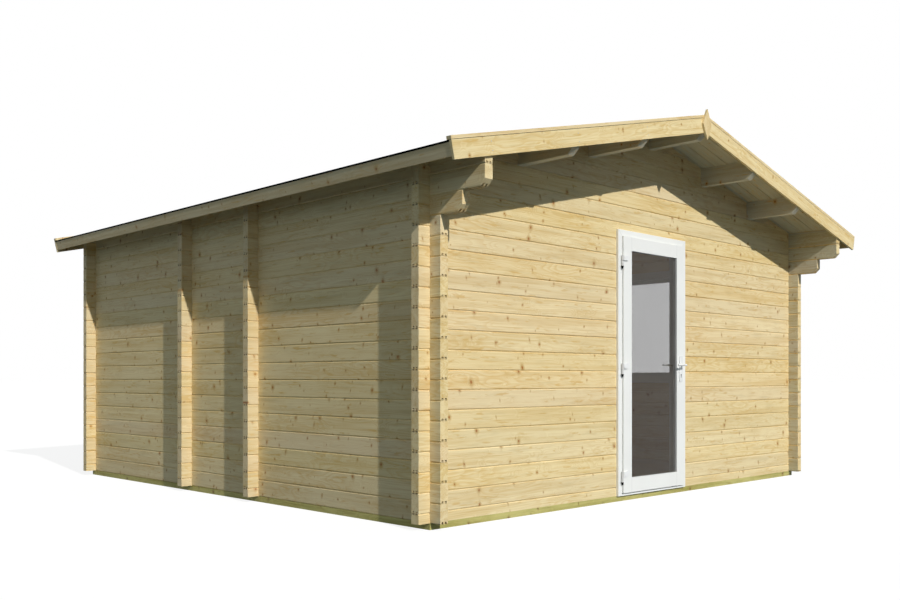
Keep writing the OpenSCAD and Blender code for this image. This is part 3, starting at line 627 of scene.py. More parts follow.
# %% [markdown]
# The small hardware needs a few plain finishes: metals whose tone is a little cloudy, and
# black rubber and plastic with a fine, dull grain.


# %% Metal, rubber and plastic
def metal(name, colour, roughness):
    """Satin metal with a faint cloud in its tone."""
    m = Finish(name)
    x, y, z = m.place()
    cloud = m.noise(x * 60.0, y * 60.0, z * 60.0, detail=2.0)
    tone = m.mix(m.ramp(cloud, 0.3, 0.75), rgb(*colour), rgb(*[c * 0.82 for c in colour]))
    m.surface({"Base Color": tone, "Roughness": roughness + (cloud - 0.5) * 0.15,
               "Metallic": 1.0})
    return m.material


def dull_black(name, level, roughness):
    """Matt rubber or plastic. The level says how dark it is."""
    m = Finish(name)
    x, y, z = m.place()
    cloud = m.noise(x * 300.0, y * 300.0, z * 300.0, detail=2.0)
    tone = m.mix(cloud, rgb(level, level, level), rgb(level * 1.6, level * 1.6, level * 1.6))
    m.surface({"Base Color": tone, "Roughness": roughness, "Specular IOR Level": 0.1},
              bump=cloud, distance=0.0002, strength=0.3)
    return m.material


zinc = metal("fixing_steel", (0.62, 0.62, 0.60), 0.38)
hinge_metal = metal("window_hinge_steel", (0.56, 0.56, 0.55), 0.35)
# Near-black steel for the lock cylinder: painted shade that keeps its keyhole dark.
keyhole_shade_steel = metal("cylinder_steel", (0.11, 0.11, 0.11), 0.50)
aluminium = metal("spacer_aluminium", (0.72, 0.72, 0.72), 0.35)
rubber = dull_black("seal_rubber", 0.018, 0.75)
black_plastic = dull_black("black_plastic", 0.005, 0.65)
print("plain finishes:", ", ".join(finish.name for finish in (
    zinc, hinge_metal, keyhole_shade_steel, aluminium, rubber, black_plastic)))

# %% [markdown]
# The hinges of the door are special: their plates are powder coated like the handles, but
# the barrels are bare steel. One material tells them apart by the distance from the hinge's
# axis, so the pieces need no cutting up.

# %% Door hinges
HINGE_AXIS = next(j["pos_m"][:2] for j in frame["joints"] if j["name"] == "door_hinge")
BARREL_EDGE = 0.0104


def hinge_finish():
    """Powder coat on the plates, and bare steel close to the axis."""
    m = Finish("hinge_steel")
    x, y, z = m.place()
    dx = x - HINGE_AXIS[0]
    dy = y - HINGE_AXIS[1]
    away = (dx * dx + dy * dy).math("SQRT")
    barrel = 1 - away.above(BARREL_EDGE)
    cloud = m.noise(x * 200.0, y * 200.0, z * 40.0, detail=2.0)
    bare = m.mix(cloud, rgb(0.580, 0.580, 0.575), rgb(0.660, 0.660, 0.655))
    tone = m.mix(barrel, rgb(0.850, 0.855, 0.845), bare)
    m.surface({"Base Color": tone, "Roughness": 0.30 + barrel * 0.10,
               "Metallic": barrel * 0.2, "Specular IOR Level": 0.4})
    return m.material


paint_nodes(hinge_finish(), "hinge_frame_halves", "hinge_leaf_halves")
print("hinge axis at", [round(c, 3) for c in HINGE_AXIS])

# %% [markdown]
# ## Helpers for shaping
#
# The pieces that follow are shaped in edit mode, by cuts, bevels, insets and extrusions. Each
# of these works on what is selected, so a test picks faces, edges or vertices by where they
# lie and which way they point.


# %% Choose, cut and bevel
def edit(obj):
    """Starts edit mode on one object with nothing selected in it."""
    bpy.ops.object.select_all(action="DESELECT")
    bpy.context.view_layer.objects.active = obj
    obj.select_set(True)
    bpy.ops.object.mode_set(mode="EDIT")
    bpy.ops.mesh.select_all(action="DESELECT")


def choose(obj, kind, test):
    """Selects the faces, edges or vertices that pass a test on their middle and direction."""
    bpy.ops.object.mode_set(mode="OBJECT")
    mesh = obj.data
    for part in (*mesh.vertices, *mesh.edges, *mesh.polygons):
        part.select = False
    if kind == "FACE":
        for face in mesh.polygons:
            face.select = test(face.center, face.normal)
    elif kind == "EDGE":
        for edge in mesh.edges:
            a, b = [mesh.vertices[i].co for i in edge.vertices]
            edge.select = test((a + b) / 2, (b - a).normalized())
    else:
        for vertex in mesh.vertices:
            vertex.select = test(vertex.co, vertex.normal)
    bpy.ops.object.mode_set(mode="EDIT")
    bpy.ops.mesh.select_mode(type=kind)


def settle(obj):
    """Back to object mode, with the piece's place put into its mesh."""
    bpy.ops.object.mode_set(mode="OBJECT")
    bpy.ops.object.select_all(action="DESELECT")
    bpy.context.view_layer.objects.active = obj
    obj.select_set(True)
    bpy.ops.object.transform_apply(location=True, rotation=True, scale=True)
    return obj


def cut(point, normal, **options):
    """Cuts the whole mesh with a plane. Options clear one side and fill the cut."""
    bpy.ops.mesh.select_all(action="SELECT")
    bpy.ops.mesh.bisect(plane_co=point, plane_no=normal, **options)


def bevel(obj, kind, test, offset, segments):
    """Bevels the edges, or the rims of the faces, that pass a test."""
    edit(obj)
    choose(obj, kind, test)
    bpy.ops.mesh.bevel(offset=offset, segments=segments)
    return settle(obj)


def face_out():
    """Turns all faces of the mesh outwards."""
    bpy.ops.mesh.select_all(action="SELECT")
    bpy.ops.mesh.normals_make_consistent(inside=False)


# %% [markdown]
# Blocks, cylinders and cones are only the start of a piece. Copies get their own mesh, and a
# finished group is joined, then given its material and the body it rides on.


# %% Start, copy, join and finish a piece
def add(primitive, **options):
    """Runs an operator that adds a primitive, and puts its place and turn into its mesh."""
    primitive(**options)
    bpy.ops.object.transform_apply(location=True, rotation=True, scale=True)
    return bpy.context.object


def block(name, low, high):
    """A box between two corners."""
    low, high = Vector(low), Vector(high)
    obj = add(bpy.ops.mesh.primitive_cube_add, size=1, location=(low + high) / 2,
              scale=high - low)
    obj.name = obj.data.name = name
    return obj


def copy_at(obj, matrix):
    """A copy with its own mesh, put in place by a matrix."""
    twin = obj.copy()
    twin.data = obj.data.copy()
    twin.data.transform(matrix)
    bpy.context.collection.objects.link(twin)
    return twin


def repeat(obj, matrices):
    """A copy for each matrix. The model that they were copied from is removed."""
    copies = [copy_at(obj, matrix) for matrix in matrices]
    bpy.data.objects.remove(obj)
    return copies


def join(name, parts):
    """Makes one piece of several."""
    bpy.ops.object.select_all(action="DESELECT")
    for part in parts:
        part.select_set(True)
    bpy.context.view_layer.objects.active = parts[0]
    bpy.ops.object.join()
    joined = bpy.context.object
    joined.name = joined.data.name = name
    bpy.ops.object.select_all(action="DESELECT")
    return joined


def wear(obj, material, body):
    """Gives a finished piece its material and its body."""
    obj.data.materials.clear()
    obj.data.materials.append(material)
    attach(obj, body)
    return obj


# %% [markdown]
# ## Roof boards
#
# Under the felt lie spruce boards, nailed down the slope across the purlins. From below each
# joint between two boards is a small V with a shadow line in it, where a tongue bridges the
# gap. The frame has one slab for each slope; here every board is modelled, with its two lower
# edges bevelled and its tongue extruded from one side, and the slab is replaced. The boards
# are made level, then turned onto the slope and cut off upright at the ridge.

# %% One roof board
BOARD_COUNT = 48
V_JOINT = 0.004
BOARD_GAP = 0.0024
TONGUE_N = (0.008, 0.013)
board_pitch = (ROOF_Y1 - ROOF_Y0) / BOARD_COUNT
board_run = (slab_high.x - slab_low.x) / math.cos(PITCH)
TO_SLOPE = Matrix.Translation((0, 0, RIDGE_Z)) @ Matrix.Rotation(PITCH, 4, "Y")


def roof_board():
    """The first board of the right slope, lying level with its upper end on the ridge."""
    side_y = ROOF_Y0 + board_pitch - BOARD_GAP
    board = block("roof_board", (0.0, ROOF_Y0 + SLACK, 0.0), (board_run, side_y, BOARD_T))
    edit(board)
    for level in TONGUE_N:
        cut((0, 0, level), (0, 0, 1))
    choose(board, "EDGE", lambda mid, way: abs(way.x) > 0.9 and mid.z < 0.001)
    bpy.ops.mesh.bevel(offset=V_JOINT, segments=1)
    choose(board, "FACE", lambda mid, way: way.y > 0.9 and TONGUE_N[0] < mid.z < TONGUE_N[1])
    bpy.ops.mesh.extrude_region_move(TRANSFORM_OT_translate={"value": (0, BOARD_GAP, 0)})
    return settle(board)


def close_at_ridge(obj, side, x=0.0):
    """Cuts a sloping piece off upright at x, and mirrors it for the left slope, side -1."""
    edit(obj)
    cut((x, 0, 0), (-1, 0, 0), clear_outer=True, use_fill=True)
    if side < 0:
        bpy.ops.mesh.select_all(action="SELECT")
        bpy.ops.transform.mirror(constraint_axis=(True, False, False), center_override=(0, 0, 0))
        face_out()
    return settle(obj)


print(f"roof boards {board_pitch:.4f} m wide and {board_run:.3f} m long")

# %% [markdown]
# Each board takes its number from its place along the ridge, so no two look the same.


# %% Lay the roof boards
def board_number(m, x, y, z):
    """Counts the boards along the ridge, with other numbers on the right slope."""
    return ((y - ROOF_Y0) / board_pitch).floor() + (x.above(0.0) * 60) + 900


def board_across(m, x, y, z):
    """The place across a board, counted from its middle."""
    return ((y - ROOF_Y0) / board_pitch).fraction() * board_pitch - board_pitch / 2


# Darker, greyer spruce for the boards seen from below: painted shade against bounced light.
SHADED_ROOF_SPRUCE = dict(SPRUCE, early=rgb(0.575, 0.530, 0.368), late=rgb(0.475, 0.397, 0.231))
roof_wood = spruce("roof_board_wood", slope_run, board_across, slope_rise, board_number,
                   SHADED_ROOF_SPRUCE)
for side, word in ((-1, "left"), (1, "right")):
    steps = [TO_SLOPE @ Matrix.Translation((0, i * board_pitch, 0)) for i in range(BOARD_COUNT)]
    planks = join("roof_planks_" + word, repeat(roof_board(), steps))
    planks = close_at_ridge(planks, side, SLACK)
    wear(planks, roof_wood, "house")
    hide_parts("roof_boards_" + word)
    print(planks.name, len(planks.data.polygons), "faces")

# %% [markdown]
# ## Floor boards
#
# The floor is planed boards laid from front to rear across the joists, with a small bevel
# where two of them meet. The stacks of cross logs stand through it at the left wall, so the
# ripped board there comes in three lengths. One board is shaped and then laid 41 times.

# %% Lay the floor
RIPPED_BOARD = 0.100
FLOOR_COUNT = 41
STACK_CLEAR = 0.045
FLOOR_BEVEL = 0.0015
floor_low, floor_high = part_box("floor")
floor_pitch = (floor_high.x - floor_low.x - RIPPED_BOARD) / FLOOR_COUNT
first_x = floor_low.x + RIPPED_BOARD
front_stack, rear_stack = [middle(n, 1) for n in ("cross_stack_front", "cross_stack_rear")]


def floor_board(name, x0, x1, y0, y1):
    """One board between two gaps, with the two upper edges along it bevelled."""
    board = block(name, (x0 + SLACK, y0, floor_low.z), (x1 - SLACK, y1, floor_high.z))
    return bevel(board, "EDGE", lambda mid, way: abs(way.y) > 0.9
                 and mid.z > floor_high.z - 0.001, offset=FLOOR_BEVEL, segments=1)


lengths = [(floor_low.y, front_stack - STACK_CLEAR),
           (front_stack + STACK_CLEAR, rear_stack - STACK_CLEAR),
           (rear_stack + STACK_CLEAR, floor_high.y)]
ripped = [floor_board("ripped_board", floor_low.x, first_x, *span) for span in lengths]
plank = floor_board("floor_board", first_x, first_x + floor_pitch, floor_low.y, floor_high.y)
others = [copy_at(plank, Matrix.Translation((i * floor_pitch, 0, 0)))
          for i in range(1, FLOOR_COUNT)]
floor_boards = join("floor_boards", [plank] + ripped + others)
print(f"floor boards of {floor_pitch:.4f} m: {FLOOR_COUNT} and {len(ripped)} ripped ones")

# %% [markdown]
# The floor's spruce has yellowed and darkened from being walked on.


# %% Finish the floor
def floor_number(m, x, y, z):
    return ((x - first_x) / floor_pitch).floor() + 1000


def floor_across(m, x, y, z):
    return ((x - first_x) / floor_pitch).fraction() * floor_pitch - floor_pitch / 2


FLOOR_SPRUCE = dict(SPRUCE, early=rgb(0.640, 0.500, 0.290), late=rgb(0.500, 0.360, 0.165))
floor_wood = spruce("floor_wood", take(1), floor_across, take(2, 0.040), floor_number,
                    FLOOR_SPRUCE)
wear(floor_boards, floor_wood, "house")
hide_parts("floor")
print("faces in the floor:", len(floor_boards.data.polygons))

# %% [markdown]
# ## Sheets of felt
#
# Felt comes in rolls one metre wide. Three sheets lie across each slope, each lapped over
# the one below so that rain runs off them, and a narrow strip is folded over the ridge. At
# the eaves the lowest sheet is bent down over the board's edge, and at the verges a doubled
# strip lies under the capping boards. The sheets are thin blocks: a cut across each one lets
# the part beyond it be lifted onto the sheet below.

# %% Measures of the sheets
SHEET = 0.0012
SHEET_N = 0.0194
LAP = 0.080
LAP_LIFT = 0.00135
LAP_BEND = (0.030, 0.005)
SHEET_Y = FELT_OPEN_Y - 0.0005
EAVE_U = 2.9612
SHEET_RUNS = [(0.145, 1.145, True), (1.065, 2.065, True), (1.985, EAVE_U, False)]
RIDGE_STRIP = 0.250
PAST_RIDGE = -0.02
LIP_N = 0.009
FOLD_HALF = 0.0185
FOLD_GAP = 0.001
FOLD_N = (0.0193, 0.0220)


def felt_sheet(low, high, lap):
    """A sheet on the level, its lower end lifted by one thickness where it laps."""
    sheet = block("felt", (low, -SHEET_Y, SHEET_N), (high, SHEET_Y, SHEET_N + SHEET))
    if lap:
        edit(sheet)
        bend = [high - LAP - step for step in LAP_BEND]
        for x in bend:
            cut((x, 0, 0), (1, 0, 0))
        choose(sheet, "VERT", lambda co, way: co.x > sum(bend) / 2)
        bpy.ops.transform.translate(value=(0, 0, LAP_LIFT))
        settle(sheet)
    return sheet


def felt_slope():
    """All felt of one slope on the level, with its ridge strip, eaves lip and verge folds."""
    parts = [felt_sheet(*run) for run in SHEET_RUNS]
    parts.append(block("ridge_strip", (PAST_RIDGE, -SHEET_Y, SHEET_N + LAP_LIFT),
                       (RIDGE_STRIP, SHEET_Y, SHEET_N + SHEET + LAP_LIFT)))
    parts.append(block("felt_lip", (EAVE_U - SHEET, ROOF_Y0, LIP_N), (EAVE_U, ROOF_Y1, SHEET_N)))
    for y in (-SHEET_Y - FOLD_HALF - FOLD_GAP, SHEET_Y + FOLD_HALF + FOLD_GAP):
        parts.append(block("verge_strip", (PAST_RIDGE, y - FOLD_HALF, FOLD_N[0]),
                           (EAVE_U, y + FOLD_HALF, FOLD_N[1])))
    return join("felt", parts)


print(f"sheets are {2 * SHEET_Y:.2f} m long, in {len(SHEET_RUNS)} rows")

# %% [markdown]
# Clout nails with flat heads hold each lap and the ridge strip, one every 100 mm.

# %% Lay and nail the felt
NAIL_STEP = 0.100
NAIL_EDGE = 0.030
nail_rows = [high - NAIL_EDGE for low, high, lap in SHEET_RUNS[:2]] + [RIDGE_STRIP - NAIL_EDGE]
nail_top = SHEET_N + SHEET + LAP_LIFT + 0.0002
nail_count = int(2 * SHEET_Y / NAIL_STEP) - 1


def felt_nail():
    """The flat head of a clout nail: a low cone with a raised middle."""
    nail = add(bpy.ops.mesh.primitive_cone_add, vertices=8, radius1=0.0050, radius2=0.0046,
               depth=0.0004)
    edit(nail)
    choose(nail, "FACE", lambda mid, way: way.z > 0.9)
    bpy.ops.mesh.inset(thickness=0.0018)
    bpy.ops.transform.translate(value=(0, 0, 0.0002))
    return settle(nail)


def on_slope(obj, name, side):
    """Turns a piece made on the level onto one slope, and closes it at the ridge."""
    obj.data.transform(TO_SLOPE)
    close_at_ridge(obj, side)
    obj.name = obj.data.name = name
    return obj


for side, word in ((-1, "left"), (1, "right")):
    felt_piece = on_slope(felt_slope(), "felt_sheets_" + word, side)
    wear(felt_piece, felt, "house")
    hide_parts("roofing_felt")
    places = [Matrix.Translation((run, (i - (nail_count - 1) / 2) * NAIL_STEP, nail_top))
              for run in nail_rows for i in range(nail_count)]
    nails = on_slope(join("felt_nails", repeat(felt_nail(), places)), "felt_nails_" + word, side)
    wear(nails, zinc, "house")
    print(felt_piece.name, "and", len(places), "nails")

# %% [markdown]
# ## Screws
#
# The verge boards, the capping boards, the threshold and the inner handle plate are held by
# countersunk screws. One head is shaped: a low disc whose top face is inset and sunk for the
# driver. Copies of it are turned to face out of each timber.

# %% Screw heads
SCREW_R = 0.0042


def screw_head():
    """A low disc whose rimmed top is sunk for the driver."""
    head = add(bpy.ops.mesh.primitive_cylinder_add, vertices=12, radius=SCREW_R, depth=0.0012)
    edit(head)
    choose(head, "FACE", lambda mid, way: way.z > 0.9)
    bpy.ops.mesh.inset(thickness=SCREW_R * 0.12)
    bpy.ops.transform.translate(value=(0, 0, 0.0002))
    bpy.ops.mesh.inset(thickness=SCREW_R * 0.40)
    bpy.ops.mesh.inset(thickness=SCREW_R * 0.08)
    bpy.ops.transform.translate(value=(0, 0, -0.0009))
    return settle(head)


def screws(name, places, body="house"):
    """Screw heads at (point, direction) pairs, joined to one piece."""
    heads = repeat(screw_head(), [Matrix.Translation(Vector(point))
                                  @ Vector(way).to_track_quat("Z", "Y").to_matrix().to_4x4()
                                  for point, way in places])
    wear(join(name, heads), zinc, body)
    print(name, len(places))


# %% [markdown]
# Two screws hold the verge boards at each purlin and at the side wall, and the caps are
# screwed down to the verge boards' top edge.

# %% Drive the screws
PURLIN_HALF = 0.035
SIDE_WALL_X = 2.540
VERGE_RISES = (-0.070, -0.012)
CAP_TOP = 0.0440
CAP_SCREW_RUNS = [0.22 + i * 0.50 for i in range(6)]
CAP_SCREW_IN = 0.020
PLATE_SCREW_IN = 0.016


def on_roof(side, run, y, rise):
    """A point on a slope from its run, its y and its rise above the boards' underside."""
    x = run * math.cos(PITCH) + rise * math.sin(PITCH)
    return (side * x, y, RIDGE_Z - run * math.sin(PITCH) + rise * math.cos(PITCH))


purlin_xs = [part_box(n)[1].x - PURLIN_HALF for n in ("upper_purlins", "lower_purlins")]
verge_runs = [x / math.cos(PITCH) for x in (*purlin_xs, SIDE_WALL_X)]
verge_places = []
cap_places = []
for end, way in ((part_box("verge_boards_front")[0].y, -1), (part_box("verge_boards_rear")[1].y, 1)):
    for side in (-1, 1):
        verge_places += [(on_roof(side, run, end, rise), (0, way, 0))
                         for run in verge_runs for rise in VERGE_RISES]
        cap_places += [(on_roof(side, run, end - way * CAP_SCREW_IN, CAP_TOP),
                        (side * math.sin(PITCH), 0, math.cos(PITCH))) for run in CAP_SCREW_RUNS]
screws("verge_screws", verge_places)
screws("cap_screws", cap_places)

threshold_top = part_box("door_threshold")[1].z
threshold_y = middle("door_threshold", 1) - 0.002
screws("threshold_screws", [((x, threshold_y, threshold_top), (0, 0, 1))
                            for x in (-0.36, -0.12, 0.12, 0.36)])
plate_low, plate_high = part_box("handle_plates")
plate_x = middle("handle_plates", 0)
screws("plate_screws", [((plate_x, plate_high.y, z), (0, 1, 0))
                        for z in (plate_low.z + PLATE_SCREW_IN, plate_high.z - PLATE_SCREW_IN)],
       "door_leaf")

# %% [markdown]
# ## Seals and glazing
#
# The leaf and the sash have a lip that laps over their frame. A rubber strip lies in the
# narrow gap under the lip, and a thicker one on the stop behind. Between the two panes runs
# an aluminium spacer bar. All of these are rectangular rings with mitred corners: a plane is
# inset, its middle is taken out, and the rest is extruded to its thickness.

# %% Mitred rings
RIM_SHARE = 0.3
# Turns from level to upright: across X for the window, across Y for the door.
UPRIGHT = (Matrix(((0, 0, 1, 0), (1, 0, 0, 0), (0, 1, 0, 0), (0, 0, 0, 1))),
           Matrix.Rotation(math.radians(90), 4, "X"))


def ring(name, size, band, depth):
    """A level frame round the origin, from z 0 up to its depth, its upper rim rounded."""
    bpy.ops.mesh.primitive_plane_add(size=1)
    obj = bpy.context.object
    obj.name = obj.data.name = name
    obj.data.transform(Matrix.Diagonal((size[0], size[1], 1, 1)))
    edit(obj)
    bpy.ops.mesh.select_all(action="SELECT")
    bpy.ops.mesh.inset(thickness=band)
    bpy.ops.mesh.delete(type="FACE")
    bpy.ops.mesh.select_all(action="SELECT")
    bpy.ops.mesh.extrude_region_move(TRANSFORM_OT_translate={"value": (0, 0, depth)})
    face_out()
    settle(obj)
    return bevel(obj, "EDGE", lambda mid, way: mid.z > depth - 1e-5 and abs(way.z) < 0.1
                 and (abs(way.x) > 0.99 or abs(way.y) > 0.99),
                 offset=min(band, depth) * RIM_SHARE, segments=2)


def upright_ring(name, axis, at, low, high, band, depth):
    """A ring between two corners in the upright plane across an axis, growing outwards."""
    obj = ring(name, (high[0] - low[0], high[1] - low[1]), band, depth)
    centre = [(low[0] + high[0]) / 2, (low[1] + high[1]) / 2]
    centre.insert(axis, at)
    obj.data.transform(Matrix.Translation(centre) @ UPRIGHT[axis])
    return obj


def open_foot(obj, z):
    """Cuts a ring off at a height, so that it ends there like a door's seal."""
    edit(obj)
    cut((0, 0, z), (0, 0, -1), clear_outer=True, use_fill=True)
    return settle(obj)


# %% [markdown]
# The strips stop short of the lip's edge, and the door's end above the threshold.

# %% Fit the seals
LIP_BAND, LIP_DEPTH, LIP_EDGE = 0.007, 0.0021, 0.0008
STOP_BAND, STOP_DEPTH, STOP_BACK = 0.011, 0.0064, 0.007
STOP_HALF, STOP_TOP = 0.434, 2.145
LIP_FOOT, STOP_FOOT = 0.010, 0.002
leaf_low, leaf_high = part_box("door_stiles")
sash_low, sash_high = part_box("window_sash")
casing_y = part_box("door_frame")[0].y
casing_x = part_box("window_frame")[1].x
stop_y = leaf_high.y + STOP_BACK
lip_seal = upright_ring("door_lip_seal", 1, casing_y, (leaf_low.x + LIP_EDGE, 0.0),
                        (leaf_high.x - LIP_EDGE, leaf_high.z - LIP_EDGE), LIP_BAND, LIP_DEPTH)
stop_seal = upright_ring("door_stop_seal", 1, stop_y, (-STOP_HALF, 0.0), (STOP_HALF, STOP_TOP),
                         STOP_BAND, STOP_DEPTH)
sash_seal = upright_ring("window_lip_seal", 0, casing_x,
                         (sash_low.y + LIP_EDGE, sash_low.z + LIP_EDGE),
                         (sash_high.y - LIP_EDGE, sash_high.z - LIP_EDGE), LIP_BAND, LIP_DEPTH)
open_foot(lip_seal, threshold_top + LIP_FOOT)
open_foot(stop_seal, threshold_top + STOP_FOOT)
for obj in (lip_seal, stop_seal, sash_seal):
    wear(obj, rubber, "house")
print(f"lip seals lie on the casings at y {casing_y:.3f} m and x {casing_x:.3f} m")

# %% [markdown]
# The spacer bars sit between the panes, 2 mm in from their edges.

# %% Fit the spacer bars
SPACER_BAND, SPACER_DEPTH, SPACER_EDGE, PANE = 0.0095, 0.0078, 0.002, 0.0041
low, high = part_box("door_glass")
spacer = upright_ring("door_spacer_bar", 1, high.y - PANE,
                      (low.x + SPACER_EDGE, low.z + SPACER_EDGE),
                      (high.x - SPACER_EDGE, high.z - SPACER_EDGE), SPACER_BAND, SPACER_DEPTH)
wear(spacer, aluminium, "door_leaf")
low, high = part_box("window_glass")
spacer = upright_ring("window_spacer_bar", 0, low.x + PANE,
                      (low.y + SPACER_EDGE, low.z + SPACER_EDGE),
                      (high.y - SPACER_EDGE, high.z - SPACER_EDGE), SPACER_BAND, SPACER_DEPTH)
wear(spacer, aluminium, "house")
print(f"spacer bars {SPACER_DEPTH * 1000} mm thick")

# %% [markdown]
# ## The lock
#
# A profile cylinder runs through the leaf under the lever: round on top, with a narrow tail
# below. Its plug has a rim at both ends, and a keyway that a cutter takes out of it.

# %% Lock cylinder
LOCK_Z = 1.031
CYLINDER_R = 0.0080
KEYWAY_HALF = 0.0009
KEYWAY_Z = (LOCK_Z - 0.0048, LOCK_Z + 0.0042)
KEYWAY_DEPTH = 0.006
TAIL_HALF = 0.0046
TAIL_Z = (LOCK_Z - 0.0240, LOCK_Z - 0.0060)


def lock_cylinder():
    """The plug with a rim and a keyway at both ends, and the tail below it."""
    low, high = plate_low.y + 0.0010, plate_high.y - 0.0005
    centre = (plate_x, (low + high) / 2, LOCK_Z)
    plug_body = add(bpy.ops.mesh.primitive_cylinder_add, vertices=32, radius=CYLINDER_R,
                    depth=high - low, location=centre, rotation=(math.radians(90), 0, 0))
    edit(plug_body)
    choose(plug_body, "FACE", lambda mid, way: abs(way.y) > 0.9)
    bpy.ops.mesh.inset(thickness=0.0016, use_individual=True)
    bpy.ops.mesh.inset(thickness=0.0003, use_individual=True)
    bpy.ops.transform.resize(value=(1, (high - low - 0.0010) / (high - low), 1),
                             center_override=centre)
    settle(plug_body)
    cutter = join("keyway", [
        block("keyway", (plate_x - KEYWAY_HALF, y0, KEYWAY_Z[0]),
              (plate_x + KEYWAY_HALF, y1, KEYWAY_Z[1]))
        for y0, y1 in ((low - 0.001, low + KEYWAY_DEPTH), (high - KEYWAY_DEPTH, high + 0.001))])
    keyway = plug_body.modifiers.new("keyway", "BOOLEAN")
    keyway.object = cutter
    keyway.solver = "EXACT"
    bpy.context.view_layer.objects.active = plug_body
    bpy.ops.object.modifier_apply(modifier=keyway.name)
    bpy.data.objects.remove(cutter)
    tail = block("cylinder_tail", (plate_x - TAIL_HALF, low + 0.0004, TAIL_Z[0]),
                 (plate_x + TAIL_HALF, high - 0.0004, TAIL_Z[1]))
    bevel(tail, "EDGE", lambda mid, way: abs(way.y) > 0.9 and mid.z < LOCK_Z - 0.02,
          offset=0.0044, segments=4)
    return join("lock_cylinder", [plug_body, tail])


# The cylinder's near-black steel is painted shade for its recess.
wear(lock_cylinder(), keyhole_shade_steel, "door_leaf")
print("lock fitted at", LOCK_Z)

# %% [markdown]
# On the edge of the leaf sits the lock's faceplate with its latch, held back, and opposite it
# on the frame a strike plate with two pockets.

# %% Faceplate and strike
BODY_X = leaf_high.x - 0.017
JAMB_X = leaf_high.x - 0.012
EDGE_Y = (-2.4430, -2.4230)
FACEPLATE_T, FACEPLATE_Z = 0.0012, (0.965, 1.195)
LATCH_T, LATCH_Y, LATCH_Z = 0.0034, (-2.4400, -2.4265), (1.125, 1.157)
STRIKE_T, STRIKE_Z = 0.0007, (0.975, 1.185)
POCKET_T, POCKET_Y, POCKET_MIDS = 0.0009, (-2.4395, -2.4265), (1.010, 1.141)
POCKET_HALF = 0.018
PLATE_CORNER = 0.0095


def rounded_plate(name, low, high, radius):
    """A thin plate across X with its corners rounded."""
    return bevel(block(name, low, high), "EDGE", lambda mid, way: abs(way.x) > 0.9,
                 offset=radius, segments=4)


faceplate = rounded_plate("faceplate", (BODY_X, EDGE_Y[0], FACEPLATE_Z[0]),
                          (BODY_X + FACEPLATE_T, EDGE_Y[1], FACEPLATE_Z[1]), PLATE_CORNER)
latch = block("latch", (BODY_X, LATCH_Y[0], LATCH_Z[0]),
              (BODY_X + LATCH_T, LATCH_Y[1], LATCH_Z[1]))
bevel(latch, "EDGE", lambda mid, way: mid.x > BODY_X + 0.003 and mid.y > LATCH_Y[1] - 0.0005,
      offset=0.0030, segments=1)
wear(join("lock_faceplate", [faceplate, latch]), zinc, "door_leaf")
strike = rounded_plate("strike_plate", (JAMB_X - STRIKE_T, EDGE_Y[0], STRIKE_Z[0]),
                       (JAMB_X, EDGE_Y[1], STRIKE_Z[1]), PLATE_CORNER)
wear(strike, zinc, "house")
pockets = [rounded_plate("pocket", (JAMB_X - POCKET_T, POCKET_Y[0], z - POCKET_HALF),
                         (JAMB_X - STRIKE_T, POCKET_Y[1], z + POCKET_HALF), 0.002)
           for z in POCKET_MIDS]
wear(join("strike_pockets", pockets), black_plastic, "house")
print(f"faceplate and strike plate {JAMB_X - STRIKE_T - BODY_X - FACEPLATE_T:.4f} m apart")

# %% [markdown]
# ## Hinge caps and the window's hardware
#
# Each hinge ends below in a black plastic point, a cone whose small end is rounded.

# %% Hinge points
HINGE_X, HINGE_Y = HINGE_AXIS
BARREL_R = 0.010
POINT_R = (0.0050, 0.0111)
POINT_H = 0.022
POINT_TUCK = 0.0015
DOOR_BARREL_H = 0.079


def hinge_point(x, y, z):
    """The point under a barrel whose lower end is at z, tucked a little into it."""
    cone = add(bpy.ops.mesh.primitive_cone_add, vertices=32, radius1=POINT_R[0],
               radius2=POINT_R[1], depth=POINT_H + POINT_TUCK, location=(x, y, z - POINT_H / 2))
    bevel(cone, "FACE", lambda mid, way: way.z < -0.9, offset=0.0012, segments=3)
    bpy.ops.object.shade_smooth_by_angle(angle=math.radians(40))
    return cone


hinge_low, hinge_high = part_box("hinge_frame_halves")
low_point = hinge_low.z + POINT_H
high_point = hinge_high.z - DOOR_BARREL_H
points = [hinge_point(HINGE_X, HINGE_Y, z)
          for z in (low_point, (low_point + high_point) / 2, high_point)]
wear(join("hinge_points", points), black_plastic, "house")
print("door hinge points:", len(points))

# %% [markdown]
# The window carries two hinges of the same make on its rear edge. The barrel is two knuckles
# with bevelled ends, and the plate is a block with one end rounded.

# %% Window hinges
BARREL_H = 0.087
KNUCKLE_GAP = 0.0005
HINGE_OUT = 0.012
HINGE_INSET = 0.170
PLATE_L, PLATE_T, PLATE_Z = 0.072, 0.009, (0.0025, 0.0415)
STRAP_HALF, STRAP_Z = 0.005, (0.0415, 0.002)


